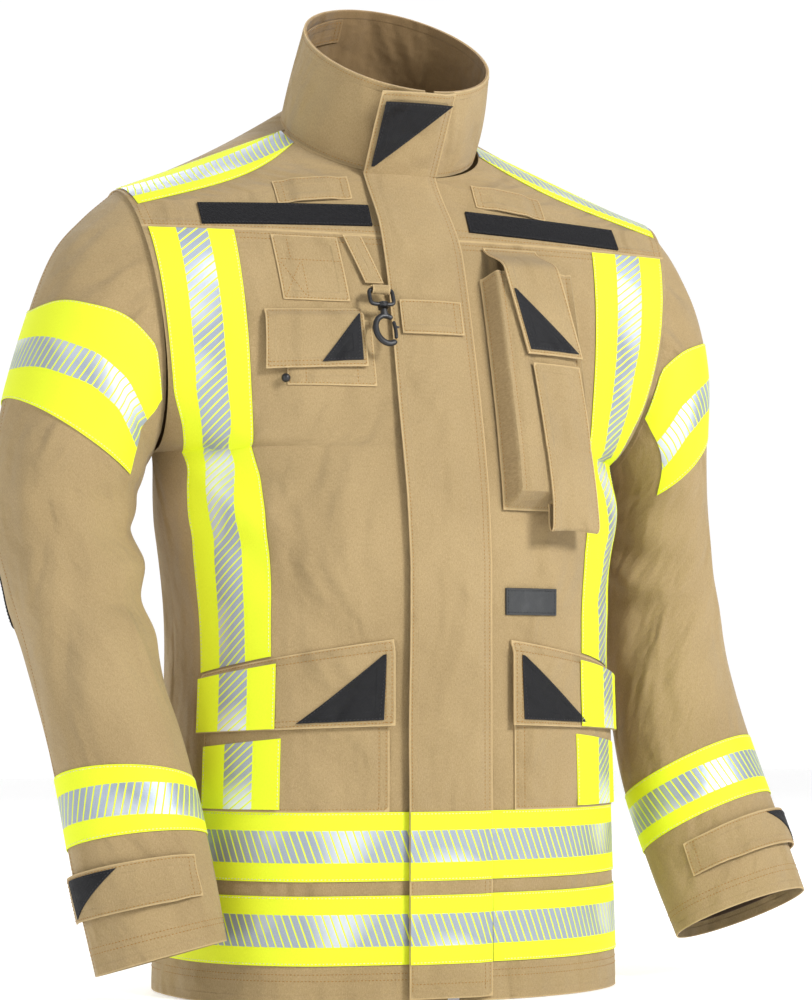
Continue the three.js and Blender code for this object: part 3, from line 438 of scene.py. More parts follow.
# Soft folds of the body: (x, z) to (x, z), width and height of each, with y ahead or behind.
FRONT_FOLDS = [
    (-205, 500, -150, 470, 13, -3.4), (-212, 468, -148, 420, 14, 3.0), (-214, 430, -150, 372, 15, -3.0),
    (-120, 545, -88, 380, 20, 1.6), (-90, 520, -70, 350, 16, -1.2), (-150, 300, -120, 20, 24, 1.8),
    (205, 500, 158, 480, 13, -3.0), (212, 462, 160, 424, 14, 3.0), (213, 420, 165, 350, 15, -2.6),
    (95, 420, 120, 335, 16, 1.8), (70, 440, 85, 380, 12, -1.4), (140, 280, 128, 20, 26, 2.0),
    (-225, 560, -205, 610, 9, -2.2), (228, 560, 208, 616, 9, -2.2), (-75, 640, -85, 560, 16, 1.0),
]
BACK_FOLDS = [
    (-190, 520, -60, 470, 22, -4.0), (190, 520, 60, 462, 22, -4.0), (-200, 470, -40, 400, 24, 3.6),
    (200, 470, 50, 392, 24, 3.6), (-120, 360, 110, 352, 26, -3.0), (-90, 300, 130, 306, 22, 2.6),
    (-130, 260, -110, 10, 26, 3.4), (20, 240, 8, 10, 30, -3.2), (140, 250, 122, 10, 24, 3.2),
    (-60, 690, -100, 560, 26, 2.4), (60, 690, 104, 560, 26, 2.4),
]


def smoothstep(start, end, value):
    """0 before start, 1 after end, and a cubic with flat ends between them."""
    k = np.clip((value - start) / (end - start), 0, 1)
    return k * k * (3 - 2 * k)


def fair(stations, position):
    """A cubic through a few (position, value) stations, whose slope at each one is that of the chord
    between its neighbours."""
    p, value = np.array(stations, float).T
    low = np.maximum(np.arange(len(p)) - 1, 0)
    high = np.minimum(np.arange(len(p)) + 1, len(p) - 1)
    slope = (value[high] - value[low]) / (p[high] - p[low])
    x = np.clip(position, p[0], p[-1])
    i = np.clip(np.searchsorted(p, x, side="right") - 1, 0, len(p) - 2)
    h = p[i + 1] - p[i]
    t = (x - p[i]) / h
    ends = (2 * t**3 - 3 * t**2 + 1) * value[i] + (3 * t**2 - 2 * t**3) * value[i + 1]
    return ends + (t**3 - 2 * t**2 + t) * h * slope[i] + (t**3 - t**2) * h * slope[i + 1]


def folded(creases, a, b):
    """Height of a few soft folds: each is a bell across its line, which fades at the line's ends."""
    total = np.zeros(np.broadcast(a, b).shape)
    for a0, b0, a1, b1, width, rise in creases:
        length = math.hypot(a1 - a0, b1 - b0)
        along = ((a - a0) * (a1 - a0) + (b - b0) * (b1 - b0)) / length**2
        off = ((a - a0) * (b1 - b0) - (b - b0) * (a1 - a0)) / length
        off = off + width * 0.35 * np.sin(along * 5 + a0)
        fade = smoothstep(-0.35, 0.3, along) * (1 - smoothstep(0.7, 1.35, along))
        total = total + rise * fade * np.exp(-((off / width) ** 2))
    return total


def armhole(turn, front):
    """An upright oval that leans out at its top: turn is 0 at the shoulder and pi at the armpit."""
    y = np.sin(turn) * np.where(front, -ARMHOLE["front"], ARMHOLE["back"])
    lean = np.cos(turn)
    return np.stack([ARMHOLE["x"] + ARMHOLE["lean"] * lean, y, ARMHOLE["z"] + ARMHOLE["rise"] * lean], -1)


def armhole_turn(z):
    """The armhole's turn at height z."""
    return np.arccos(np.clip((z - ARMHOLE["z"]) / ARMHOLE["rise"], -1, 1))


def half_body(s, z, front):
    """One half of the plain body. s runs from the middle to the side seam or armhole, along a rounded
    rectangle at the hem, powers of a sine and a cosine, that becomes a flatter power curve over the chest."""
    s, z = np.broadcast_arrays(np.asarray(s, float), np.asarray(z, float))
    hole = armhole(armhole_turn(z), front)
    edge_x = np.where(z < ARMPIT_Z, fair(half_widths, z), hole[..., 0])
    edge_y = np.where(z < ARMPIT_Z, 0, hole[..., 1])
    depth = -fair(front_depths, z) if front else fair(back_depths, z)
    angle = np.clip(s, 0, 1) * math.pi / 2
    flat = smoothstep(BELLY_TOP_Z, CHEST_LOW_Z, z)
    x = edge_x * ((1 - flat) * np.sin(angle) ** BELLY_ROUNDNESS + flat * s)
    belly_bend = 1 - np.maximum(np.cos(angle), 0) ** BELLY_ROUNDNESS
    bend = (1 - flat) * belly_bend + flat * np.clip(s, 0, 1) ** CHEST_FLATNESS
    return np.stack([x, depth + (edge_y - depth) * bend, z], -1)


def share_at(x, z, front=True):
    """The s at which the half body is x wide at height z, found by halving."""
    x, z = np.broadcast_arrays(np.asarray(x, float), np.asarray(z, float))
    low, high = np.zeros(x.shape), np.ones(x.shape)
    for _ in range(24):
        mid = (low + high) / 2
        short = half_body(mid, z, front)[..., 0] < x
        low, high = np.where(short, mid, low), np.where(short, high, mid)
    return (low + high) / 2


def body(s, z, front, side):
    """The half body on one side, pushed out by its folds, which die away at the closure, the side
    seams, the yoke and the armholes."""
    point = half_body(s, z, front) * np.array([side, 1, 1])
    x, y, z = point[..., 0], point[..., 1], point[..., 2]
    rise = folded(FRONT_FOLDS if front else BACK_FOLDS, x, z)
    flute = 1.6 * np.sin(x / 31 + (0 if front else 1.3)) * (1 - smoothstep(40, 420, z))
    quiet = smoothstep(52, 85, np.abs(x)) if front else 1
    quiet = quiet * (1 - smoothstep(0.93, 1, s)) * (1 - smoothstep(640, 700, z))
    push = (rise + flute) * quiet
    way = np.stack([x / 222**2, y / 160**2], -1)
    way = way / np.maximum(np.linalg.norm(way, axis=-1, keepdims=True), 1e-9)
    point[..., :2] += way * push[..., None]
    return point


SIDES = (("right", -1), ("left", 1))

for name, side in SIDES:
    def front_panel(u, v, side=side):
        """From the zip to the side seam and from the hem to the yoke seam, with even rows of z."""
        z = YOKE_Z * v
        start = share_at(ZIP_HALF_GAP, z)
        return body(start + (1 - start) * u, z, True, side)

    cloth_sheet(f"{name}_front", front_panel, (76, 150), 0, CLOTH, "garment", tan_twill,
                (f"{name}_front_panel",), out=side, border="v",
                sewn=[("v0", 22), ("v0", 28), ("v1", 4), ("v1", 9)])

# ---- Front yokes ------------------------------------------------------------------------------
# A yoke covers each shoulder from the seam over the chest to the shoulder line. It is double cloth,
# topstitched along the seam, the collar and the armhole.
YOKE_STRAIGHT = 0.3


def ring(shape, degrees):
    """A sloping oval round the neck: 0 degrees is in front and 90 at the wearer's left."""
    a = np.radians(degrees)
    y = shape["y"] - shape["depth"] * np.cos(a)
    return np.stack([shape["half"] * np.sin(a), y, shape["z"] - shape["slope"] * np.cos(a)], -1)


def front_yoke(s, v, side):
    """Straight lines from the collar seam or front edge to the armhole, sagged to meet the panel."""
    s, v = np.broadcast_arrays(np.asarray(s, float), np.asarray(v, float))
    outer = armhole(armhole_turn(YOKE_Z) * (1 - v), True)
    top = NECK["z"] - NECK["slope"]
    z = YOKE_Z + (top - YOKE_Z) * np.clip(v / YOKE_STRAIGHT, 0, 1)
    straight = np.stack([0 * z, -fair(front_depths, z), z], -1)
    curved = ring(NECK, 90 * np.clip((v - YOKE_STRAIGHT) / (1 - YOKE_STRAIGHT), 0, 1))
    inner = np.where((v < YOKE_STRAIGHT)[..., None], straight, curved)
    point = inner + (outer - inner) * s[..., None]
    sag = YOKE_DEPTH + armhole(armhole_turn(YOKE_Z), True)[1]
    point[..., 1] -= sag * (1 - v) * (s - np.clip(s, 0, 1) ** CHEST_FLATNESS)
    point[..., 0] *= side
    return point


for name, side in SIDES:
    def yoke(u, v, side=side):
        """The whole yoke, from beside the zip outwards."""
        return front_yoke(0.03 + 0.97 * u, v, side)

    cloth_sheet(f"{name}_yoke", yoke, (48, 40), 0.2, 0.2 + CLOTH, "garment", tan_twill,
                (f"{name}_front_yoke",), out=side, border="v",
                sewn=[("v0", 3), ("v0", 8), ("u1", 3), ("u1", 9)])

# ---- Back -------------------------------------------------------------------------------------
# The back is one wide panel below a yoke that fans out from the collar to both armholes. It hangs
# in a few deep folds from the shoulder blades.
BACK_YOKE_Z = 720


def back_panel(u, v):
    """Across the whole back from the left side seam to the right one, from the hem to the yoke."""
    side = np.where(u < 0.5, 1, -1)
    left = body(np.abs(1 - 2 * u), BACK_YOKE_Z * v, False, 1)
    right = body(np.abs(1 - 2 * u), BACK_YOKE_Z * v, False, -1)
    return np.where((side > 0)[..., None], left, right)


def back_yoke(u, v):
    """Straight lines from the collar seam to the armhole or, in the middle, to the seam below."""
    side = np.where(u < 0.5, 1, -1)
    k = 1 - np.abs(1 - 2 * u)
    hole = armhole(armhole_turn(BACK_YOKE_Z) * np.clip(2 * k, 0, 1), False)
    seam = half_body(1 - np.clip(2 * k - 1, 0, 1), BACK_YOKE_Z + 0 * k, False)
    outer = np.where((k < 0.5)[..., None], hole, seam)
    inner = ring(NECK, 90 + 90 * k)
    point = inner + (outer - inner) * v[..., None]
    point[..., 0] *= side
    return point


cloth_sheet("back", back_panel, (130, 140), 0, CLOTH, "garment", tan_twill, ("back_panel",),
            border="v", sewn=[("v0", 22), ("v0", 28)])
cloth_sheet("upper_back_yoke", back_yoke, (96, 30), 0.2, 0.2 + CLOTH, "garment", tan_twill,
            ("back_yoke",), out=-1, border="v", sewn=[("v1", 3), ("v1", 8)])

# ---- Sleeves ----------------------------------------------------------------------------------
# Each sleeve is one tube that is set into the armhole and hangs a little forward, bent at the elbow
# and narrower at the cuff. It creases inside the elbow and below the shoulder.
SLEEVE_END = 10
SLEEVE_LINES = {
    "right": (
        [(276, 0, 748), (305, 0, 722), (332, 0, 690), (352, 2, 640), (379, 4, 540), (388, 0, 450),
         (378, -20, 375), (366, -34, 318), (351, -66, 225), (338, -98, 115), (322, -114, 30)],
        [(238.5, 0, 507.5), (241, 0, 500), (244, 0, 492), (247, 2, 482), (252, 4, 460), (255, 2, 420),
         (252, -18, 368), (245, -40, 306), (228, -84, 215), (214, -108, 130), (204, -122, 58)],
    ),
    "left": (
        [(276, 0, 748), (300, 0, 718), (318, 1, 680), (328, 3, 630), (338, 8, 545), (350, 14, 455),
         (364, 20, 378), (371, 2, 310), (380, -28, 238), (392, -66, 160), (404, -100, 84)],
        [(238.5, 0, 507.5), (241, 0, 500), (243, 0, 490), (244, 2, 480), (246, 8, 458), (247, 14, 420),
         (247, 20, 368), (247, 6, 275), (250, -18, 188), (262, -48, 110), (276, -76, 44)],
    ),
}
SLEEVE_DEPTHS = [(0, 84), (3, 84), (5, 68), (7, 62), (10, 46)]
# Sleeve folds: (t, degrees / 30) to (t, degrees / 30), width in the same units and height.
SLEEVE_FOLDS = {
    "right": [
        (4.6, 6.2, 5.5, 3.4, 0.30, -5.5), (5.2, 6.4, 6.1, 3.2, 0.26, 4.0), (5.9, 6.3, 6.5, 2.8, 0.28, -5.0),
        (6.5, 6.0, 7.2, 2.6, 0.26, 3.0), (4.0, 5.6, 4.9, 2.4, 0.3, -3.4), (7.3, 5.4, 7.9, 2.2, 0.24, -2.6),
        (4.4, 1.6, 6.2, 0.9, 0.34, 2.6), (5.4, 2.6, 7.4, 1.6, 0.36, -2.4), (8.9, 4.6, 9.7, 3.0, 0.22, -2.0),
        (1.6, 3.4, 3.6, 2.6, 0.4, -2.6), (4.9, 0.2, 6.6, -0.8, 0.4, 2.6), (5.8, 8.2, 7.0, 7.0, 0.34, -3.2),
        (6.9, 1.0, 8.4, 0.2, 0.34, 1.8),
    ],
    "left": [
        (4.7, 6.0, 5.4, 3.2, 0.28, -4.6), (5.3, 6.2, 6.0, 2.8, 0.26, 3.4), (5.8, 6.0, 6.6, 2.4, 0.28, -4.4),
        (6.6, 5.6, 7.4, 2.2, 0.26, 2.6), (4.0, 5.4, 4.8, 2.2, 0.3, -3.0), (7.2, 5.0, 7.8, 1.6, 0.26, -2.2),
        (5.0, 1.8, 6.6, 1.0, 0.34, 2.2), (8.9, 4.2, 9.6, 2.6, 0.22, -1.8), (1.6, 3.4, 3.6, 2.4, 0.4, -2.2),
        (5.2, 0.4, 6.8, -0.8, 0.4, 2.6), (5.9, 8.0, 7.2, 6.8, 0.34, -3.0),
    ],
}


def through(points, t):
    """A Catmull-Rom curve that passes point k at t = k, and runs straight on before the first."""
    p = np.array(points, float)
    p = np.concatenate([2 * p[:1] - p[1:2], p, 2 * p[-1:] - p[-2:-1]])
    inside = np.clip(t, 0, SLEEVE_END)
    i = np.clip(np.floor(inside).astype(int), 0, SLEEVE_END - 1)
    w = (inside - i)[..., None]
    a, b, c, d = p[i], p[i + 1], p[i + 2], p[i + 3]
    curve = b + 0.5 * w * (c - a + w * (2 * a - 5 * b + 4 * c - d + w * (3 * (b - c) + d - a)))
    return curve + np.minimum(t, 0)[..., None] * (p[2] - p[1])


def unit(vectors):
    """Vectors made one long."""
    return vectors / np.maximum(np.linalg.norm(vectors, axis=-1, keepdims=True), 1e-9)


def sleeve(which, t, degrees):
    """An oval swept between an outer and an inner line, moved along its own radius by its folds: t
    runs down from the armhole, and degrees are 0 outside, 90 in front and 180 inside."""
    t, degrees = np.broadcast_arrays(np.asarray(t, float), np.asarray(degrees, float))
    outer_line, inner_line = SLEEVE_LINES[which]

    def middle(at):
        return (through(outer_line, at) + through(inner_line, at)) / 2

    outer, inner = through(outer_line, t), through(inner_line, t)
    clipped = np.clip(t, 0, SLEEVE_END)
    along = unit(middle(np.minimum(clipped + 0.3, SLEEVE_END)) - middle(np.maximum(clipped - 0.3, 0)))
    wide = (outer - inner) / 2
    front = unit(np.cross(along, wide))
    near = (1 - smoothstep(0, 2, t))[..., None]
    front = unit(front * (1 - near) + np.array([0, -1.0, 0]) * near)
    front = np.where(front[..., 1:2] > 0, -front, front)
    a = np.radians(degrees)
    depth = fair(SLEEVE_DEPTHS, t)
    behind = ARMHOLE["back"] / ARMHOLE["front"]
    depth = depth * np.where(np.sin(a) < 0, behind + (1 - behind) * smoothstep(0, 3, t), 1)
    ray = wide * np.cos(a)[..., None] + front * (depth * np.sin(a))[..., None]
    turn = np.mod(degrees, 360) / 30
    push = folded(SLEEVE_FOLDS[which], t, turn) + folded(SLEEVE_FOLDS[which], t, turn - 12)
    push = push * smoothstep(0.6, 2, t) * (1 - smoothstep(8.0, 8.3, t) * (1 - smoothstep(8.8, 9.2, t)))
    point = (outer + inner) / 2 + ray + unit(ray) * push[..., None]
    if which == "right":
        point = point * np.array([-1, 1, 1])
    return point


for name, side in SIDES:
    def tube(u, v, name=name):
        """The whole sleeve, from just inside the armhole seam to the cuff."""
        return sleeve(name, -0.12 + (SLEEVE_END + 0.12) * v, 360 * u)

    cloth_sheet(f"{name}_arm", tube, (84, 130), -CLOTH, 0, "garment", tan_twill,
                (f"{name}_sleeve",), out=side, ring=True, border="v",
                sewn=[("v1", 14), ("v1", 18), ("u0", 3)])

# ---- Linings ----------------------------------------------------------------------------------
# A quilted lining hangs behind the shell of the body and the sleeves, drawn dark brown as painted
# shade for the inside of the jacket. It stops short of the hem and the cuffs.
# The lining's dark brown is painted shade, standing for the dim inside of the cuffs and the hem.
painted_shade_lining = woven("painted_shade_lining", (0.085, 0.052, 0.028, 1), (0.05, 0.03, 0.016, 1), ribs=700.0)
LINER_BACK = 6.6

for name, side in SIDES:
    def arm_lining(u, v, name=name):
        """The sleeve's surface again, a little shorter."""
        return sleeve(name, 0.1 + (SLEEVE_END - 0.25) * v, 360 * u)

    cloth_sheet(f"{name}_arm_lining", arm_lining, (48, 70), -LINER_BACK, -LINER_BACK + 1, "garment",
                painted_shade_lining, (f"{name}_sleeve_liner",), out=side, ring=True, border="v")


def girth(q, z):
    """Once round the body: q is 0 in front, 1 at the left side, 2 behind and 3 at the right."""
    q, z = np.broadcast_arrays(np.asarray(q, float), np.asarray(z, float))
    half = np.where(q < 2, q, 4 - q)
    share = np.where(half <= 1, half, 2 - half)
    found = np.zeros(q.shape + (3,))
    for front in (True, False):
        for side in (1, -1):
            mine = ((half <= 1) == front) & ((q < 2) == (side > 0))
            found = np.where(mine[..., None], body(share, z, front, side), found)
    return found


def body_lining(u, v):
    """Round the body from one front edge to the other, from above the hem to the armpits."""
    return girth(0.14 + 3.72 * u, 16 + (ARMPIT_Z - 28) * v)


cloth_sheet("body_lining", body_lining, (170, 60), -LINER_BACK, -LINER_BACK + 1, "garment", painted_shade_lining,
            ("body_liner",), border="v")

# ---- Collar -----------------------------------------------------------------------------------
# The stand collar is two layers of shell cloth. It rises to a sloping rim and overlaps in front
# under the storm flap, and a hanging loop is sewn inside its back.
# The inside of the collar and its hanging loop are the same shell cloth, painted a darker tan: painted shade
# for the inside of the neck.
painted_shade_twill = woven("inner_collar_painted_shade_twill", (0.30, 0.195, 0.088, 1), (0.22, 0.14, 0.06, 1))


def collar(u, v):
    """Straight lines from the neck seam to the rim, bowed out a little, with soft dents."""
    degrees = 3 + 354 * u
    point = ring(NECK, degrees) * (1 - v[..., None]) + ring(RIM, degrees) * v[..., None]
    bow = 2.4 * np.sin(math.pi * v) + 1.3 * np.sin(np.radians(degrees) * 7) * np.sin(math.pi * v)
    outward = np.stack([np.sin(np.radians(degrees)), -np.cos(np.radians(degrees)), 0 * u], -1)
    return point + outward * (bow * (1 - v * 0.4))[..., None]


cloth_sheet("collar_outside", collar, (150, 22), 0, CLOTH, "garment", tan_twill,
            ("collar_shell",), sewn=[("v1", 4), ("v0", 4)])
cloth_sheet("collar_inside", collar, (150, 22), -CLOTH - 0.6, 0.02, "garment", painted_shade_twill,
            ("collar_lining",), sewn=[])


def hanging_loop(u, v):
    """A strip inside the back of the collar, near the rim."""
    return collar(0.545 + 0.125 * (1 - u), 0.66 + 0.25 * v)


def arch(extra):
    """Sewn down at both ends and bowed off the collar between them."""
    return lambda u, v: 2.4 + extra + 1.6 * np.sin(math.pi * u)


cloth_sheet("collar_hanging_loop", hanging_loop, (24, 8), arch(0), arch(1), "garment", painted_shade_twill,
            sewn=[("u0", 3), ("u0", 8), ("u1", 3), ("u1", 8), ("v0", 3), ("v1", 3)])

# ---- Reflective tape --------------------------------------------------------------------------
# The tape is fluorescent yellow knit with a silver stripe of slanting segments down its middle, made
# of glass beads. It is sewn on along both edges with pale thread.
YELLOW = (0.80, 0.89, 0.022, 1)
SILVER_WIDE = 0.0145
pale_thread = thread("pale_thread", (0.78, 0.80, 0.62, 1))

beads, given, result = group(
    "bead_segments",
    [("Along", FLOAT, 0.0), ("Across", FLOAT, 0.0), ("Slant", FLOAT, 0.4), ("Pitch", FLOAT, 0.007),
     ("Cloth", VECTOR, None)],
    [("Silver", FLOAT), ("Glare", FLOAT), ("Grain", FLOAT)],
)
phase = sums(beads, "MULTIPLY_ADD", given["Across"], given["Slant"], given["Along"])
phase = sums(beads, "FRACT", sums(beads, "DIVIDE", phase, given["Pitch"]))
centred = sums(beads, "ABSOLUTE", sums(beads, "SUBTRACT", phase, 0.5))
bar = ramp(beads, centred, 0.38, 0.42, 1.0, 0.0)
off_middle = sums(beads, "ABSOLUTE", given["Across"])
inside = ramp(beads, off_middle, SILVER_WIDE - 0.0003, SILVER_WIDE, 1.0, 0.0)
beads.links.new(sums(beads, "MULTIPLY", bar, inside), result.inputs["Silver"])
# Broad patches of the silver stripe are painted brighter: a painted highlight standing for the glare off its
# glass beads.
painted_glare_noise = node(beads, "ShaderNodeTexNoise", {"Vector": given["Cloth"], "Scale": 11.0, "Detail": 1.0})
beads.links.new(ramp(beads, painted_glare_noise.outputs["Fac"], 0.50, 0.70), result.inputs["Glare"])
grain = node(beads, "ShaderNodeTexNoise", {"Vector": given["Cloth"], "Scale": 1600.0, "Detail": 1.0})
beads.links.new(grain.outputs["Fac"], result.inputs["Grain"])


def reflective(name, runs, slant, pitch):
    """Tape that runs along the cloth's own x or y, with its segments slanted one way."""
    material, tree, shader = blank_material(name)
    material["runs"] = runs
    cloth = node(tree, "ShaderNodeUVMap", uv_map="cloth").outputs[0]
    axes = node(tree, "ShaderNodeSeparateXYZ", {0: cloth}).outputs
    along, across = (axes["X"], axes["Y"]) if runs == "x" else (axes["Y"], axes["X"])
    stripe = node(tree, "ShaderNodeGroup", node_tree=beads)
    for label, value in (("Along", along), ("Across", across), ("Cloth", cloth)):
        tree.links.new(value, stripe.inputs[label])
    stripe.inputs["Slant"].default_value = slant
    stripe.inputs["Pitch"].default_value = pitch
    weave = node(tree, "ShaderNodeGroup", node_tree=twill)
    tree.links.new(cloth, weave.inputs["Cloth"])
    weave.inputs["Ribs"].default_value = 1100.0
    yellow = mixed(tree, weave.outputs["Tone"], (0.70, 0.80, 0.012, 1), YELLOW)
    bead = mixed(tree, stripe.outputs["Grain"], (0.25, 0.29, 0.35, 1), (0.46, 0.52, 0.62, 1))
    # In those patches the silver is painted towards a pale blue-white, a painted highlight.
    painted_highlight_silver = mixed(tree, stripe.outputs["Glare"], bead, (0.80, 0.85, 0.90, 1))
    colour = mixed(tree, stripe.outputs["Silver"], yellow, painted_highlight_silver)
    tree.links.new(colour, shader.inputs["Base Color"])
    # The yellow is given a faint painted glow, so that it stays bright where it lies in shade; the silver
    # stripe is given none.
    studio_and_painted_glow = mixed(tree, stripe.outputs["Silver"], (0.75, 0.9, 0.0, 1), (0, 0, 0, 1))
    tree.links.new(studio_and_painted_glow, shader.inputs["Emission Color"])
    shader.inputs["Emission Strength"].default_value = 0.08
    rough = sums(tree, "MULTIPLY_ADD", stripe.outputs["Silver"], -0.32, 0.72)
    tree.links.new(rough, shader.inputs["Roughness"])
    tree.links.new(sums(tree, "MULTIPLY", stripe.outputs["Silver"], 0.45), shader.inputs["Metallic"])
    step = bumped(tree, stripe.outputs["Silver"], 0.5, 0.0002)
    tree.links.new(bumped(tree, weave.outputs["Height"], 0.35, 0.0002, step), shader.inputs["Normal"])
    return material


level_tape = reflective("level_tape", "x", 0.37, 0.0072)
upright_tape = {"right": reflective("right_upright_tape", "y", 0.78, 0.0082),
                "left": reflective("left_upright_tape", "y", -0.78, 0.0082)}
TAPE_LOW, TAPE_HIGH = 1.9, 2.5
BOTH_LONG = [("v0", 1.8), ("v1", 1.8)]
BAND_WIDTH = 62
HEM_BANDS = (("upper", 110), ("lower", 35))

for name, low_z in HEM_BANDS:
    def hem_band(u, v, low_z=low_z):
        """Once round the body at one height, from beside the storm flap."""
        return girth(0.08 + 3.84 * u, low_z + BAND_WIDTH * v)

    cloth_sheet(f"hem_tape_{name}", hem_band, (260, 12), TAPE_LOW, TAPE_HIGH, "garment", level_tape,
                (f"hem_band_{name}",), sewn=BOTH_LONG, thread_of=pale_thread)

FLAP_TOP_Z, FLAP_SLANT = 328, 16
tape_inner = {
    "right": [(110, 162), (371, 162), (540, 176), (YOKE_Z, 186)],
    "left": [(110, 146), (371, 145), (540, 165), (YOKE_Z, 182)],
}
tape_start = {"right": (0.52, 0.50), "left": (0.38, 0.36)}
tape_outer = [(110, 0.8), (371, 0.82), (480, 0.83), (520, 0.92), (560, 0.98), (YOKE_Z, 0.98)]
BOTH_SIDES = [("u0", 1.8), ("u1", 1.8)]
ARM_BAND_REACH, ARM_BAND_FOOT = 128, 3.9

for name, side in SIDES:
    def upright(u, v, name=name, side=side):
        """From the slanting top of the pocket flap to the yoke seam, between two fair edges."""
        foot = FLAP_TOP_Z + 1 - 2 * FLAP_SLANT * (tape_start[name][0] + (0.98 - tape_start[name][0]) * u)
        z = foot + (YOKE_Z - 2 - foot) * v
        start = share_at(fair(tape_inner[name], z), z)
        return body(start + (fair(tape_outer, z) - start) * u, z, True, side)

    cloth_sheet(f"{name}_chest_tape", upright, (22, 84), TAPE_LOW, TAPE_HIGH, "garment", upright_tape[name],
                (f"{name}_vertical_tape",), out=side, sewn=BOTH_SIDES,
                thread_of=pale_thread)

    def back_upright(u, v, side=side):
        """A matching tape down the back, from the yoke seam to the hem bands."""
        z = 172 + (BACK_YOKE_Z - 4 - 172) * v
        start = share_at(120 + 0 * z, z, False)
        end = share_at(120 + BAND_WIDTH + 0 * z, z, False)
        return body(start + (end - start) * u, z, False, side)

    cloth_sheet(f"{name}_back_tape", back_upright, (14, 110), TAPE_LOW, TAPE_HIGH, "garment",
                upright_tape[name], (), out=-side, sewn=BOTH_SIDES, thread_of=pale_thread)

    def shoulder(u, v, side=side):
        """Along the shoulder line of the yoke, wider at the sleeve."""
        s = 0.03 + 0.95 * u
        low_v = 0.88 + (0.30 - 0.88) * s
        return front_yoke(s, low_v + (0.995 - low_v) * v, side)

    cloth_sheet(f"{name}_shoulder_band", shoulder, (36, 16), TAPE_LOW, TAPE_HIGH, "garment", level_tape,
                (f"{name}_shoulder_tape",), out=side, sewn=BOTH_LONG,
                thread_of=pale_thread)

    def upper_arm(u, v, name=name):
        """Over the outside of the arm. Its upper edge is a parabola, highest at the shoulder."""
        degrees = ARM_BAND_REACH * (2 * u - 1)
        top = np.maximum(3.1 * (1 - (degrees / 112) ** 2), 0.5)
        return sleeve(name, top + (ARM_BAND_FOOT - top) * v, degrees)

    FOREARM = {"right": (8.2, 8.75), "left": (8.1, 8.8)}[name]

    def forearm(u, v, name=name, ends=FOREARM):
        """Once round the forearm."""
        return sleeve(name, ends[0] + (ends[1] - ends[0]) * v, 360 * u)

    cloth_sheet(f"{name}_forearm_tape", forearm, (84, 12), 0.5, 1.1, "garment", level_tape,
                (f"{name}_forearm_band",), out=side, ring=True, sewn=BOTH_LONG,
                thread_of=pale_thread)
    cloth_sheet(f"{name}_upper_arm_tape", upper_arm, (56, 30), 0.7, 1.3, "garment", level_tape,
                (f"{name}_upper_arm_band",), out=side, sewn=BOTH_LONG,
                thread_of=pale_thread)

# ---- Black patches ----------------------------------------------------------------------------
# Elbow patches and the triangular grips on the flaps are black coated cloth, a little shiny, sewn
# down close to their edges with black thread.
BLACK, BLACK_DARK = (0.013, 0.013, 0.015, 1), (0.005, 0.005, 0.006, 1)
black_coated = woven("black_coated_cloth", BLACK, BLACK_DARK, 0.62, 0.02, 520.0, 0.7)
black_thread = thread("black_thread", (0.03, 0.03, 0.033, 1))
ALL_EDGES = [("u0", 2), ("u1", 2), ("v0", 2), ("v1", 2)]
GRIP_EDGES = [("u0", 2), ("u1", 2), ("v1", 2)]

for name, side in SIDES:
    def elbow(u, v, name=name):
        """Behind and below the elbow, on the outside of the sleeve."""
        return sleeve(name, 4.7 + 1.8 * v, -110 + 92 * u)

    cloth_sheet(f"{name}_elbow", elbow, (28, 40), 0.4, 1.4, "garment", black_coated,
                (f"{name}_elbow_patch",), out=side, sewn=ALL_EDGES, thread_of=black_thread)


def triangle(surface, a, b, c):
    """A surface of its own over three (u, v) points of another: v runs from a to the side b-c. Where the
    corners turn the other way, b and c change places, so that it faces the way the surface does."""
    if (b[0] - a[0]) * (c[1] - a[1]) > (b[1] - a[1]) * (c[0] - a[0]):
        b, c = c, b

    def found(u, v):
        v = 0.03 + 0.97 * v
        pick = [a[k] + (b[k] - a[k] + (c[k] - b[k]) * u) * v for k in range(2)]
        return surface(pick[0], pick[1])
    return found


# ---- Cuff straps ------------------------------------------------------------------------------
# A strap round the front of each cuff is sewn down at its inner end and held by hook tape, with a
# black grip at its free end.
CUFFS = {"right": (8.98, 9.42), "left": (9.02, 9.45)}
STRAP_HEIGHT = 4.2


def bends(first, second, surface, start, end):
    """Two body names and the surface's points at two (u, v) points, as (first, second, start, end)."""
    points = [surface(np.array(u), np.array(v)) for u, v in (start, end)]
    return first, second, points[0], points[1]


for name, side in SIDES:
    def cuff_strap(u, v, name=name):
        """From the outside of the cuff, round the front, to its inner side."""
        top, end = CUFFS[name]
        return sleeve(name, top + (end - top) * v, -15 + 143 * np.clip(u, -0.01, 1.01))

    strap_hold = bends("garment", f"{name}_cuff_tab", cuff_strap, (1.0, 0.5), (0.9, 0.5))

    def strap_rise(u, v):
        """Lies on the cuff at its sewn end and stands off it along the rest."""
        return STRAP_HEIGHT - 3.4 * smoothstep(0.86, 1, u)

    def strap_top(u, v):
        """Its outer face."""
        return strap_rise(u, v) + 1.4

    cloth_sheet(f"{name}_cuff_band", cuff_strap, (48, 12), strap_rise, strap_top, strap_hold, tan_twill,
                (f"{name}_cuff_strap",), out=side,
                sewn=[("v0", 2.5), ("v1", 2.5), ("u0", 2.5), ("u1", 2), ("u1", 9)])
    grip_corners = {
        "right": ((0.13, 0.08), (0.52, 0.08), (0.15, 0.92)),
        "left": ((0.12, 0.92), (0.10, 0.08), (0.46, 0.08)),
    }
    grip = triangle(cuff_strap, *grip_corners[name])
    cloth_sheet(f"{name}_cuff_grip", grip, (14, 14), STRAP_HEIGHT + 1.6, STRAP_HEIGHT + 2.3, strap_hold,
                black_coated, out=side, sewn=GRIP_EDGES, thread_of=black_thread)

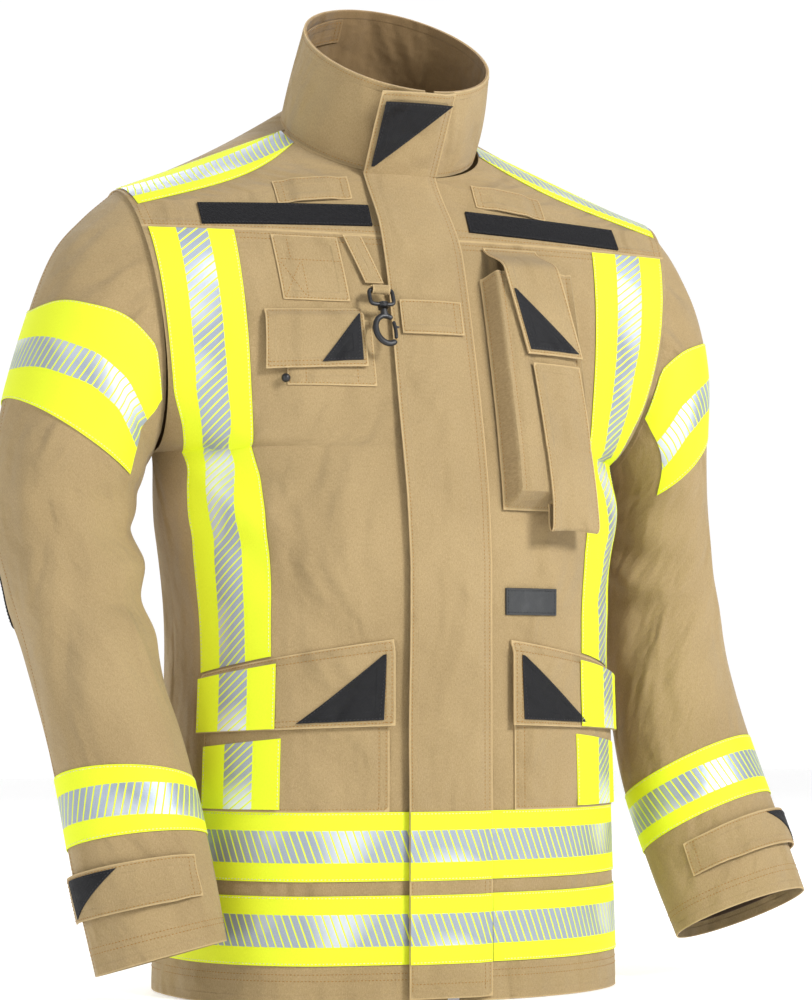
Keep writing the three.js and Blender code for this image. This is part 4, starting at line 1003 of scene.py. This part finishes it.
# ---- Yoke trim --------------------------------------------------------------------------------
# A long strip of hook tape lies on each front yoke, and above it a short loop of cloth that holds a
# microphone, sewn down at both ends.
fuzzy, tree, shader = blank_material("fuzzy_hook_tape")
cloth = node(tree, "ShaderNodeUVMap", uv_map="cloth").outputs[0]
loops = node(tree, "ShaderNodeTexVoronoi", {"Vector": cloth, "Scale": 900.0})
clumps = node(tree, "ShaderNodeTexNoise", {"Vector": cloth, "Scale": 260.0, "Detail": 3.0})
tuft = sums(tree, "MULTIPLY_ADD", clumps.outputs["Fac"], 0.8, loops.outputs["Distance"])
dark = mixed(tree, tuft, (0.002, 0.002, 0.002, 1), (0.018, 0.018, 0.02, 1))
tree.links.new(dark, shader.inputs["Base Color"])
shader.inputs["Roughness"].default_value = 0.95
shader.inputs["Sheen Weight"].default_value = 0.05
shader.inputs["Specular IOR Level"].default_value = 0.1
tree.links.new(bumped(tree, tuft, 0.9, 0.001), shader.inputs["Normal"])


def oblong(u, v, inner, width, foot, height, drop=0):
    """The x and z of a flat strip from its inner lower corner: its level edges drop a little outwards."""
    return inner + width * u, foot - drop * u + height * v


def on_yoke(x, z, side):
    """The point of a front yoke that is x wide at height z, found by halving."""
    low, high = np.zeros(np.shape(z)), np.ones(np.shape(z))

    def at(v):
        start, end = front_yoke(0 * v, v, 1)[..., 0], front_yoke(0 * v + 1, v, 1)[..., 0]
        return front_yoke((x - start) / (end - start), v, side)

    for _ in range(24):
        mid = (low + high) / 2
        below = at(mid)[..., 2] < z
        low, high = np.where(below, mid, low), np.where(below, high, mid)
    return at((low + high) / 2)


for name, side in SIDES:
    def hook_strip(u, v, side=side):
        """A level strip just above the yoke seam, dropping a little outwards."""
        return on_yoke(*oblong(u, v, inner=50, width=164, foot=716, height=21, drop=6), side)

    def mic_loop(u, v, side=side):
        """A shorter strip above it."""
        return on_yoke(*oblong(u, v, inner=64, width=74, foot=743, height=23, drop=9), side)

    def loop_rise(u, v):
        """Sewn flat at both ends and standing off the yoke between them."""
        return 1.7 + 2.4 * smoothstep(0.1, 0.3, u) * (1 - smoothstep(0.7, 0.9, u))

    def loop_top(u, v):
        """Its outer face."""
        return loop_rise(u, v) + 1.2

    cloth_sheet(f"{name}_hook_strip", hook_strip, (60, 10), 1.5, 3.4, "garment", fuzzy,
                (f"{name}_chest_hook_strip",), out=side,
                sewn=[("v0", 1.4), ("v1", 1.4), ("u0", 1.4), ("u1", 1.4)], thread_of=black_thread)
    cloth_sheet(f"{name}_microphone_loop", mic_loop, (40, 12), loop_rise, loop_top, "garment", tan_twill,
                (f"{name}_mic_loop",), out=side,
                sewn=[("u0", 2), ("u0", 8), ("u1", 2), ("u1", 8), ("v0", 2), ("v1", 2)])

# ---- Lower pockets ----------------------------------------------------------------------------
# Big patch pockets sit on both sides above the hem bands, each under a slanting flap of double cloth
# whose outer half carries the reflective tape and whose inner corner has a black grip.
POCKET_BOTTOM_Z, POCKET_INNER_X, POCKET_SHARE, FLAP_DROP = 172, 58, 0.8, 78
FLAP_LIFT = 6.8


def pouch_height(slack, extra):
    """Low along the sewn sides and bottom, and standing off by the slack inside them."""
    def found(u, v):
        edge = smoothstep(0, 0.08, u) * smoothstep(0, 0.08, 1 - u) * smoothstep(0, 0.08, v)
        return 1.7 + extra + slack * edge
    return found


def flap_height(lift, extra, start=0.84):
    """Low along the sewn top edge, standing off over the pocket below, and a little wavy at the foot."""
    def found(u, v):
        wave = 0.5 * np.sin(u * 7.5 + 0.6) * (1 - v)
        return (lift + wave) * (1 - smoothstep(start, 1, v)) + 1.8 * smoothstep(start, 1, v) + extra
    return found


for name, side in SIDES:
    def pouch(u, v, side=side):
        """From the hem bands up to behind the flap."""
        z = POCKET_BOTTOM_Z + (FLAP_TOP_Z - 17 - 2 * FLAP_SLANT * u - POCKET_BOTTOM_Z) * v
        start = share_at(POCKET_INNER_X + 4, z)
        return body(start + (POCKET_SHARE - 0.02 - start) * u, z, True, side)

    def pocket_flap(u, v, side=side):
        """A slanting strip from the inner corner to the side."""
        bottom = FLAP_TOP_Z - FLAP_DROP - 8 * u
        z = bottom + (FLAP_TOP_Z - 2 * FLAP_SLANT * u - bottom) * v
        start = share_at(POCKET_INNER_X, z)
        return body(start + (POCKET_SHARE - start) * u, z, True, side)

    def flap_tape(u, v, flap=pocket_flap, start=tape_start[name][0]):
        """The tape on the outer half of the flap."""
        return flap(start + (0.99 - start) * u, 0.015 + 0.9 * v)

    def pouch_tape(u, v, pouch=pouch, start=tape_start[name][1]):
        """The tape on the outer half of the pocket, below the flap."""
        return pouch(start + (0.99 - start) * u, 0.02 + 0.52 * v)

    cloth_sheet(f"{name}_pouch", pouch, (44, 30), pouch_height(1.8, 0), pouch_height(1.8, 1.2), "garment",
                tan_twill, (f"{name}_lower_pocket",), out=side,
                sewn=[("u0", 2.5), ("u0", 8), ("u1", 2.5), ("v0", 2.5), ("v1", 3), ("v1", 18)])
    cloth_sheet(f"{name}_pouch_tape", pouch_tape, (20, 16), 5.0, 5.6, "garment", upright_tape[name],
                (), out=side, sewn=BOTH_SIDES, thread_of=pale_thread)
    flap_hold = bends("garment", f"{name}_pocket_cover", pocket_flap, (0.45, 1.0), (0.45, 0.84))
    cloth_sheet(f"{name}_pocket_flap", pocket_flap, (50, 28), flap_height(FLAP_LIFT, 0),
                flap_height(FLAP_LIFT, 1.9), flap_hold, tan_twill,
                (f"{name}_lower_flap",), out=side,
                sewn=[("u0", 2.5), ("u0", 7), ("u1", 2.5), ("v0", 2.5), ("v0", 7), ("v1", 2), ("v1", 8)])
    cloth_sheet(f"{name}_pocket_flap_tape", flap_tape, (24, 22), FLAP_LIFT + 2.7, FLAP_LIFT + 3.3, flap_hold,
                upright_tape[name], (f"{name}_flap_tape",), out=side, sewn=BOTH_SIDES,
                thread_of=pale_thread)
    grip = triangle(pocket_flap, (0.035, 0.86), (0.045, 0.07), (0.42, 0.07))
    cloth_sheet(f"{name}_pocket_grip", grip, (20, 20), FLAP_LIFT + 2.6, FLAP_LIFT + 3.3, flap_hold,
                black_coated, out=side, sewn=GRIP_EDGES, thread_of=black_thread)

# ---- Chest pocket -----------------------------------------------------------------------------
# A flat pocket on the right of the chest has a wide flap with a grip in its inner corner. Above it
# is a stitched patch with a crossed box, and under it the black ball that stops a drawcord's end.
def on_right_chest(x, z):
    """The point of the right front that is x away from the middle at height z."""
    return body(share_at(x, z), z, True, -1)


def chest_pouch(u, v):
    """The pocket, whose lower strip shows under the flap."""
    return on_right_chest(*oblong(u, v, inner=64, width=82, foot=560, height=62))


def chest_flap(u, v):
    """The flap, which drops a little outwards."""
    return on_right_chest(*oblong(u, v, inner=73, width=92, foot=577, height=56, drop=3))


def crossed_patch(u, v):
    """The patch above the flap, up to the yoke seam, leaning outwards as it rises."""
    x, z = oblong(u, v, inner=88, width=64, foot=640, height=YOKE_Z - 5 - 640)
    return on_right_chest(x - 6 * (1 - v), z)


cloth_sheet("chest_pouch", chest_pouch, (26, 20), pouch_height(1.6, 0), pouch_height(1.6, 1.2), "garment",
            tan_twill, ("chest_pocket",), out=-1,
            sewn=[("u0", 2), ("u1", 2), ("v0", 2), ((0.22, 0.02), (0.22, 0.4)), ((0.8, 0.02), (0.8, 0.4))])
flap_hold = bends("garment", "chest_flap", chest_flap, (0.5, 1.0), (0.5, 0.84))
cloth_sheet("chest_flap_cloth", chest_flap, (32, 22), flap_height(FLAP_LIFT, 0), flap_height(FLAP_LIFT, 1.9),
            flap_hold, tan_twill, ("chest_pocket_flap",), out=-1,
            sewn=[("u0", 2), ("u1", 2), ("v0", 2), ("v0", 6), ("v1", 2)])
grip = triangle(chest_flap, (0.04, 0.9), (0.05, 0.1), (0.46, 0.08))
cloth_sheet("chest_grip", grip, (16, 16), FLAP_LIFT + 2.5, FLAP_LIFT + 3.2, flap_hold, black_coated,
            out=-1, sewn=GRIP_EDGES, thread_of=black_thread)
cloth_sheet("crossed_patch", crossed_patch, (20, 20), 1.7, 2.9, "garment", tan_twill,
            ("pen_patch",), out=-1,
            sewn=[("u0", 2), ("u1", 2), ("v0", 2), ((0.02, 0.62), (0.98, 0.62)), ((0.62, 0.02), (0.62, 0.62)),
                  ((0.64, 0.04), (0.96, 0.6)), ((0.96, 0.04), (0.64, 0.6)), ((0.78, 0.62), (0.78, 0.98))])

BALL_RADIUS, BALL_TURNS, BALL_RINGS = 4.2, 24, 16
cord_end = on_right_chest(np.array(150.0), np.array(566.0)) + [0, -8, 0]


def ball(u, v):
    """A sphere: u turns once round its upright axis and v runs from the upper pole to the lower one."""
    turn, drop = 2 * math.pi * u, math.pi * v
    way = np.stack([np.cos(turn) * np.sin(drop), np.sin(turn) * np.sin(drop), np.cos(drop)], -1)
    return cord_end + BALL_RADIUS * way


turns, drops = np.meshgrid(np.arange(BALL_TURNS) / BALL_TURNS, np.arange(1, BALL_RINGS) / BALL_RINGS)
between = np.arange(turns.size).reshape(turns.shape) + 1
beside = np.roll(between, -1, 1)
upper_pole, lower_pole = 0 * between[0], 0 * between[0] + turns.size + 1
faces = np.concatenate([
    np.stack([between[:-1], between[1:], beside[1:]], -1).reshape(-1, 3),
    np.stack([between[:-1], beside[1:], beside[:-1]], -1).reshape(-1, 3),
    np.stack([upper_pole, between[0], beside[0]], -1),
    np.stack([between[-1], lower_pole, beside[-1]], -1),
])
poles = ball(np.zeros(2), np.array([0.0, 1.0]))
points = np.concatenate([poles[:1], ball(turns, drops).reshape(-1, 3), poles[1:]])
cord_stop = make_mesh("cord_stop", points, faces)

# ---- Radio pocket -----------------------------------------------------------------------------
# A deep box pocket for a radio stands on the left of the chest. Its sides are pleated, a narrow flap
# closes it, and a strap runs down its front and turns back on itself below.
RADIO = {"inner": 52, "outer": 144, "top": 668, "bottom": 448, "stand": 22}
RADIO_LIFT = 30.5
STRAP_X, STRAP_WIDTH, STRAP_FOOT_Z, STRAP_LENGTH = 82, 48, 428, 152


def on_left_chest(x, z):
    """The point of the left front that is x away from the middle at height z."""
    return body(share_at(x, z), z, True, 1)


def radio_pouch(u, v):
    """The whole pocket, laid out on the chest below it."""
    x = RADIO["inner"] + (RADIO["outer"] - RADIO["inner"]) * u
    return on_left_chest(x, RADIO["bottom"] + (RADIO["top"] - RADIO["bottom"]) * v)


def radio_height(extra):
    """Walls that rise over a tenth of the width, with one pleat in each, and a gently crowned front."""
    def found(u, v):
        near = np.minimum(u, 1 - u)
        wall = smoothstep(0.004, 0.085, near) * smoothstep(0, 0.07, v)
        pleat = 1.6 * np.exp(-(((near - 0.14) / 0.03) ** 2)) + 1.2 * np.exp(-(((u - 0.36) / 0.05) ** 2))
        return 3.2 + extra + (RADIO["stand"] - pleat + 1.4 * np.sin(math.pi * u)) * wall
    return found


def radio_flap(u, v):
    """A narrow flap that leans outwards as it goes down."""
    return on_left_chest(60 + 18 * (1 - v) + 56 * u, 588 + 112 * v)


def radio_flap_height(extra):
    """Over the front of the pocket, and down to the chest at its sewn top edge."""
    def found(u, v):
        return RADIO_LIFT + (2.6 - RADIO_LIFT) * smoothstep(0.72, 1, v) + extra
    return found


def radio_strap(u, v):
    """Down the front of the pocket, round a half circle below it and a little way back up."""
    turn = np.clip((v - 0.16) / 0.14, 0, 1) * math.pi
    z = np.where(v < 0.16, 452 - 16 * v / 0.16, 436 - 8 * np.sin(turn))
    z = z + np.where(v > 0.3, (v - 0.3) * 206, 0)
    height = RADIO_LIFT - 7 + 6 * (1 - np.cos(turn)) / 2
    risen = (z - STRAP_FOOT_Z) / STRAP_LENGTH
    x = STRAP_X + 8 * (1 - risen) + STRAP_WIDTH * u
    under = on_left_chest(x, z)

    def chest(a, b):
        return on_left_chest(STRAP_X + STRAP_WIDTH * a, STRAP_FOOT_Z + STRAP_LENGTH * b)

    tilt = normals_of(chest, u, np.clip(risen, 0.01, 0.99), 1)
    return under + tilt * height[..., None]


cloth_sheet("radio_box", radio_pouch, (80, 64), radio_height(0), radio_height(1.2), "garment", tan_twill,
            ("radio_pocket",),
            sewn=[("u0", 2), ("u1", 2), ("v0", 3), ("v1", 4), ((0.135, 0.06), (0.135, 0.98)),
                  ((0.865, 0.06), (0.865, 0.98))])
flap_hold = bends("garment", "radio_cover", radio_flap, (0.5, 1.0), (0.5, 0.86))
cloth_sheet("radio_flap_cloth", radio_flap, (20, 44), radio_flap_height(0), radio_flap_height(1.9), flap_hold,
            tan_twill, ("radio_flap",), sewn=[("u0", 2), ("u1", 2), ("v0", 2), ("v1", 3)])
grip = triangle(radio_flap, (0.06, 0.56), (0.06, 0.035), (0.94, 0.035))
cloth_sheet("radio_grip", grip, (18, 18), RADIO_LIFT + 2.1, RADIO_LIFT + 2.8, flap_hold, black_coated,
            out=1, sewn=GRIP_EDGES, thread_of=black_thread)
cloth_sheet("radio_strap_cloth", radio_strap, (16, 56), 0, 1.4, "garment", tan_twill,
            ("radio_strap",), sewn=[("u0", 2), ("u1", 2)])

# ---- Rubber patch -----------------------------------------------------------------------------
# A small grey rubber patch with a raised rim and a plain face is sewn on the left of the waist.
RUBBER_WIDE, RUBBER_HIGH = 55, 25
rubber = woven("grey_rubber", (0.062, 0.064, 0.066, 1), (0.042, 0.044, 0.046, 1), 0.55, 0.0, 300.0, 0.2)


def rubber_patch(u, v):
    """A small level rectangle."""
    return on_left_chest(*oblong(u, v, inner=53, width=RUBBER_WIDE, foot=351, height=RUBBER_HIGH))


def rubber_top(u, v):
    """A rim 1.5 mm wide that stands over a plain face."""
    inside = np.minimum(np.minimum(u, 1 - u) * RUBBER_WIDE, np.minimum(v, 1 - v) * RUBBER_HIGH)
    return 3.6 - 0.6 * smoothstep(1.4, 1.9, inside) - 0.8 * (1 - smoothstep(0, 0.5, inside))


cloth_sheet("rubber_patch", rubber_patch, (110, 50), 1.5, rubber_top, "garment", rubber,
            ("rubber_label",), border="", sewn=[("u0", 2.6), ("u1", 2.6), ("v0", 2.6), ("v1", 2.6)],
            thread_of=black_thread)

# ---- Storm flap -------------------------------------------------------------------------------
# A wide flap of double cloth covers the zip from the hem to the top of the collar. It is sewn down
# on the left and closed on the right by hook tape, with a black grip at the neck.
FLAP_FREE_X, FLAP_SEAM_X, FLAP_FOOT_Z = -45, 38, 4
FLAP_STAND = 7.0
neck_front, rim_front = ring(NECK, 0), ring(RIM, 0)


def on_middle(x, z):
    """The line down the middle of the front, bowed back by the square of x more and more upwards."""
    x, z = np.broadcast_arrays(np.asarray(x, float), np.asarray(z, float))
    up = (z - neck_front[2]) / (rim_front[2] - neck_front[2])
    collar_y = neck_front[1] + (rim_front[1] - neck_front[1]) * up
    y = np.where(z < neck_front[2], -fair(front_depths, z), collar_y)
    bow = 0.0008 + 0.0026 * smoothstep(YOKE_Z, neck_front[2], z)
    return np.stack([x, y + bow * x * x, z], -1)


def storm_flap(u, v):
    """From its free edge to its seam, and from the hem to the collar."""
    z = FLAP_FOOT_Z + (rim_front[2] + 1 - FLAP_FOOT_Z) * v
    seam = FLAP_SEAM_X - 12 * smoothstep(YOKE_Z - 20, neck_front[2], z)
    free = FLAP_FREE_X + 1.2 * np.sin(z / 47) * smoothstep(150, 300, z)
    return on_middle(free + (seam - free) * u, z)


def flap_face(extra, waves=True):
    """Stands over the zip and comes down to the cloth at the sewn edge. The whole flap also waves a
    little along its free edge, and its bands of tape lie flat."""
    def found(u, v):
        roll = 0.9 * np.sin(v * 23 + 1) * (1 - u) * smoothstep(0.2, 0.4, v) * waves
        return FLAP_STAND + roll - 5.0 * smoothstep(0.8, 1, u) + extra
    return found


FOLD_TOP, FOLD_FOOT = (32, -BELLY_DEPTH, 560), (32, -BELLY_DEPTH, 400)
storm_hold = ("garment", "storm_flap_foot", FOLD_TOP, FOLD_FOOT)
cloth_sheet("storm_flap", storm_flap, (34, 190), flap_face(0), flap_face(2.0), storm_hold, tan_twill,
            ("storm_flap_lower", "storm_flap_upper"),
            sewn=[("u0", 2.5), ("u1", 3), ("u1", 9), ("v1", 3), ("v0", 14)])

for name, low_z in HEM_BANDS:
    def flap_band(u, v, low_z=low_z):
        """Across the flap, level with the band on the body."""
        return on_middle(FLAP_FREE_X + 0.5 + (FLAP_SEAM_X - 1 - FLAP_FREE_X) * u, low_z + BAND_WIDTH * v)

    cloth_sheet(f"flap_tape_{name}", flap_band, (24, 12), flap_face(2.2, waves=False),
                flap_face(2.8, waves=False), "storm_flap_foot", level_tape,
                (f"storm_flap_band_{name}",), sewn=BOTH_LONG, thread_of=pale_thread)


def neck_grip(u, v):
    """A triangle with an upright side along the free edge and a level one along the top."""
    return on_middle(-41 + 63 * u * (0.04 + 0.96 * v), 783 + 55 * v)


def flap_tab(u, v):
    """A short level strap across the flap."""
    return on_middle(*oblong(u, v, inner=-36, width=61, foot=609, height=32))


def tab_top(u, v):
    """The strap's outer face, a little proud in its middle."""
    return FLAP_STAND + 4.4 + 1.2 * np.sin(math.pi * u)


cloth_sheet("neck_grip", neck_grip, (22, 22), FLAP_STAND + 3.2, FLAP_STAND + 3.9, "garment", black_coated,
            ("storm_flap_grip",), sewn=GRIP_EDGES, thread_of=black_thread)
cloth_sheet("flap_tab", flap_tab, (24, 14), FLAP_STAND + 3.2, tab_top, "garment", tan_twill,
            ("storm_flap_tab",), sewn=[("u0", 2), ("u1", 2), ("u1", 8), ("v0", 2), ("v1", 2)])


CLOSURE_X, CLOSURE_WIDE, CLOSURE_FOOT_Z = -38, 22, 40


def loop_side(u, v):
    """The strip on the right front, down the whole closure."""
    return on_middle(*oblong(u, v, CLOSURE_X, CLOSURE_WIDE, CLOSURE_FOOT_Z, height=YOKE_Z - 52))


def hook_side(u, v):
    """The strip behind the part of the flap that lifts."""
    return on_middle(*oblong(u, v, CLOSURE_X, CLOSURE_WIDE, CLOSURE_FOOT_Z, height=350))


cloth_sheet("loop_side", loop_side, (8, 120), 2.2, 3.6, "garment", fuzzy, ("flap_loop_strip",),
            sewn=BOTH_SIDES, thread_of=black_thread)
cloth_sheet("hook_side", hook_side, (8, 70), FLAP_STAND - 2.2, FLAP_STAND - 0.4, "storm_flap_foot", fuzzy,
            ("flap_hook_strip",), sewn=BOTH_SIDES, thread_of=black_thread)

# ---- Zip --------------------------------------------------------------------------------------
# The zip has two woven tapes with brass teeth along their inner edges, and a brass slider with a
# flat pull. It runs from just above the hem to the neck.
zip_cloth = woven("zip_cloth", (0.10, 0.085, 0.06, 1), (0.05, 0.042, 0.03, 1), ribs=1200.0)
brass, tree, shader = blank_material("brushed_brass")
where = node(tree, "ShaderNodeTexCoord").outputs["Object"]
streak = node(tree, "ShaderNodeMapping", {"Vector": where, "Scale": (2600, 2600, 60)}).outputs[0]
brush = node(tree, "ShaderNodeTexNoise", {"Vector": streak, "Scale": 1.0, "Detail": 2.0}).outputs["Fac"]
tone = mixed(tree, brush, (0.38, 0.25, 0.09, 1), (0.72, 0.52, 0.22, 1))
tree.links.new(tone, shader.inputs["Base Color"])
tree.links.new(sums(tree, "MULTIPLY_ADD", brush, 0.25, 0.25), shader.inputs["Roughness"])
shader.inputs["Metallic"].default_value = 1.0
tree.links.new(bumped(tree, brush, 0.2, 0.0001), shader.inputs["Normal"])
ZIP_LOW_Z, TOOTH_PITCH = 42, 2.6

for name, side in SIDES:
    def zip_half(u, v, side=side):
        """One half of the tape, beside the teeth."""
        return on_middle(side * (3.4 + 12.6 * u), ZIP_LOW_Z + (neck_front[2] - 6 - ZIP_LOW_Z) * v)

    cloth_sheet(f"{name}_zip_tape", zip_half, (8, 120), -3.4, -2.6, "garment", zip_cloth,
                (f"zip_tape_{name}",), out=side, sewn=[("u1", 2)], thread_of=black_thread)
    heights = np.arange(ZIP_LOW_Z + 2, neck_front[2] - 8, TOOTH_PITCH) + (TOOTH_PITCH / 2 if side > 0 else 0)
    root = on_middle(0 * heights, heights)
    tooth = np.array([[x, y, z] for x in (1.7, 4.6) for y in (1.5, 3.5) for z in (-0.7, 0.7)])
    tooth[:4, 2] *= 0.6
    corners = root[:, None] + tooth * np.array([side, 1, 1])
    quads = np.array([[0, 1, 3, 2], [4, 6, 7, 5], [0, 4, 5, 1], [2, 3, 7, 6], [0, 2, 6, 4], [1, 5, 7, 3]])
    quads = quads if side > 0 else quads[:, ::-1]
    faces = (np.arange(len(heights))[:, None, None] * len(tooth) + quads).reshape(-1, 4)
    teeth = make_mesh(f"{name}_zip_teeth", corners.reshape(-1, 3), faces, 30)
    teeth.data.materials.append(brass)
    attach(teeth, "garment")

for name in ("zip_slider", "zip_pull_tab"):
    frame["nodes"][name].data.materials.clear()
    frame["nodes"][name].data.materials.append(brass)

# ---- Snap hook --------------------------------------------------------------------------------
# A black plastic snap hook hangs from a cloth strap on the right of the chest: a rounded frame with
# a swivel barrel, an oval hook below it, and a sprung gate across the hook's mouth.
plastic, tree, shader = blank_material("black_plastic")
where = node(tree, "ShaderNodeTexCoord").outputs["Object"]
grain = node(tree, "ShaderNodeTexNoise", {"Vector": where, "Scale": 1500.0, "Detail": 2.0}).outputs["Fac"]
wear = node(tree, "ShaderNodeTexNoise", {"Vector": where, "Scale": 90.0, "Detail": 4.0}).outputs["Fac"]
tone = mixed(tree, wear, (0.007, 0.007, 0.008, 1), (0.022, 0.023, 0.026, 1))
tree.links.new(tone, shader.inputs["Base Color"])
tree.links.new(sums(tree, "MULTIPLY_ADD", wear, 0.3, 0.22), shader.inputs["Roughness"])
tree.links.new(bumped(tree, grain, 0.25, 0.0002), shader.inputs["Normal"])

cord_stop.data.materials.append(plastic)
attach(cord_stop, "garment")

swing = next(joint for joint in frame["joints"] if joint["name"] == "hook_swing")
pivot = (np.array(swing["pos_m"]) - MIDDLE) * 1000
TILT = math.radians(24)
EYE_WIDE, EYE_HIGH, EYE_BAR = 27, 16, 3.6
OVAL_X, OVAL_Z, OVAL_BAR = 13.5, 17, 4.6
OVAL_TOP = -EYE_HIGH - 7
OVAL_MIDDLE = OVAL_TOP - 3 - OVAL_Z


def hung(points):
    """Points of the upright hook, tilted forward about its pivot."""
    x, y, z = np.moveaxis(points, -1, 0)
    c, s = math.cos(TILT), math.sin(TILT)
    return np.stack([x, y * c + z * s, z * c - y * s], -1) + pivot


def squared(value, power):
    """A cosine or sine raised to a power with its sign kept, which squares a circle's corners."""
    return np.sign(value) * np.abs(value) ** power


def rod(path, radius_flat, radius_thick, closed):
    """A round-cornered bar along a flat path in x and z: at each point the section is an oval, with one
    radius in the path's plane and one across it, and open ends are drawn in to a dome."""
    count, around = len(path), 14
    ahead = np.roll(path, -1, 0) - np.roll(path, 1, 0)
    if not closed:
        ahead[0], ahead[-1] = path[1] - path[0], path[-1] - path[-2]
    ahead = unit(ahead)
    side_way = np.stack([ahead[:, 1], -ahead[:, 0]], 1)
    a = np.arange(around) / around * 2 * math.pi
    flat, thick = squared(np.cos(a), 0.75), squared(np.sin(a), 0.75)
    r1 = np.broadcast_to(radius_flat, count)[:, None]
    x = path[:, 0:1] + side_way[:, 0:1] * flat * r1
    z = path[:, 1:2] + side_way[:, 1:2] * flat * r1
    y = np.broadcast_to(radius_thick, count)[:, None] * thick
    points = np.stack([x, y, z], -1)
    number = np.arange(count * around).reshape(count, around)
    nxt = np.roll(number, -1, 1)
    rows = (number, np.roll(number, -1, 0)) if closed else (number[:-1], number[1:])
    turn = (nxt, np.roll(nxt, -1, 0)) if closed else (nxt[:-1], nxt[1:])
    faces = [list(q) for q in np.stack([rows[0], turn[0], turn[1], rows[1]], -1).reshape(-1, 4)]
    if not closed:
        faces += [list(number[0][::-1]), list(number[-1])]
    return points.reshape(-1, 3), faces


def hook_piece(name, parts, node_name, held_by):
    """One piece of the hook, made of rods that run into each other."""
    points, faces, start = [], [], 0
    for part_points, part_faces in parts:
        points.append(part_points)
        faces += [[int(i) + start for i in face] for face in part_faces]
        start += len(part_points)
    mesh = bpy.data.meshes.new(name)
    mesh.from_pydata(metres(hung(np.concatenate(points))).tolist(), [], faces)
    mesh.polygons.foreach_set("use_smooth", np.ones(len(mesh.polygons), bool))
    mesh.set_sharp_from_angle(angle=math.radians(50))
    piece = bpy.data.objects.new(name, mesh)
    bpy.context.scene.collection.objects.link(piece)
    mesh.materials.append(plastic)
    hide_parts(node_name)
    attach(piece, held_by)


around = np.linspace(0, 2 * math.pi, 72, endpoint=False)
square = np.stack([squared(np.cos(around), 0.4), squared(np.sin(around), 0.4)], 1)
eye_path = square * [(EYE_WIDE - EYE_BAR) / 2, EYE_HIGH / 2] + [0, -EYE_HIGH / 2 + EYE_BAR / 2 - 1.8]
barrel = np.stack([np.zeros(24), np.linspace(-EYE_HIGH + 1, -EYE_HIGH - 4.4, 24)], 1)
barrel_wide = 4.4 + 0.5 * np.cos(np.linspace(0, 4 * math.pi, 24))
barrel_wide[0] = barrel_wide[-1] = 3.4
frame_rods = [rod(eye_path, EYE_BAR / 2, EYE_BAR / 2, True), rod(barrel, barrel_wide, barrel_wide, False)]
hook_piece("hook_frame_piece", frame_rods, "hook_eye", "hook_frame")

mouth = math.radians(52)
sweep = np.linspace(mouth, 2 * math.pi - mouth, 60)
OVAL_RADII = np.array([OVAL_X, OVAL_Z]) - OVAL_BAR / 2
oval_path = np.stack([np.cos(sweep), np.sin(sweep)], 1) * OVAL_RADII + [0, OVAL_MIDDLE]
oval_wide = OVAL_BAR / 2 + 0.5 * np.sin((sweep - mouth) / 2 * 1.2)
ends = np.ones(60)
ends[[0, -1]], ends[[1, -2]] = 0.45, 0.85
stem = np.stack([np.zeros(10), np.linspace(OVAL_TOP + 0.8, OVAL_TOP - 5.5, 10)], 1)
stem_wide = np.linspace(3.0, 4.2, 10)
stem_thick = np.linspace(3.0, 2.4, 10)
hook_rods = [rod(oval_path, oval_wide * ends, 2.4 * ends, False), rod(stem, stem_wide, stem_thick, False)]
hook_piece("hook_piece", hook_rods, "hook_body", "hook")

gate_x = OVAL_RADII[0] * math.cos(mouth) + 0.6
gate_half = OVAL_RADII[1] * math.sin(mouth) - 2.6
gate_z = np.linspace(OVAL_MIDDLE - gate_half, OVAL_MIDDLE + gate_half, 24)
gate_path = np.stack([np.full(24, gate_x) + 0.8 * np.sin(np.linspace(0, math.pi, 24)), gate_z], 1)
gate_ends = np.ones(24)
gate_ends[[0, -1]] = 0.5
thumb = np.stack([np.linspace(gate_x + 0.4, gate_x + 4.8, 8), np.full(8, OVAL_MIDDLE + gate_half * 0.35)], 1)
thumb_rod = rod(thumb, np.linspace(1.2, 0.8, 8), np.linspace(1.4, 0.9, 8), False)
gate_rods = [rod(gate_path, 1.6 * gate_ends, 1.9 * gate_ends, False), thumb_rod]
hook_piece("gate_piece", gate_rods, "hook_gate", "gate")


def hook_strap(u, v):
    """The strap that the hook hangs from: it leans inwards as it comes down from the yoke seam."""
    return on_right_chest(65 - 17 * (1 - v) + 18 * u, 658 + (YOKE_Z - 661) * v)


cloth_sheet("hook_strap_cloth", hook_strap, (10, 24), 4.2, 5.6, "garment", tan_twill,
            ("hook_strap",), out=-1, sewn=BOTH_SIDES)


def strap_eye(u, v):
    """The end of the strap, looped round the top bar of the hook's frame."""
    a = (v * 1.7 - 0.35) * math.pi
    x = pivot[0] + (u - 0.5) * 17
    return np.stack([x, pivot[1] + 3.4 * np.cos(a), pivot[2] - 3.4 * np.sin(a) + 0 * u], -1)


cloth_sheet("strap_eye", strap_eye, (8, 24), 0, 1.2, "garment", tan_twill, out=1)
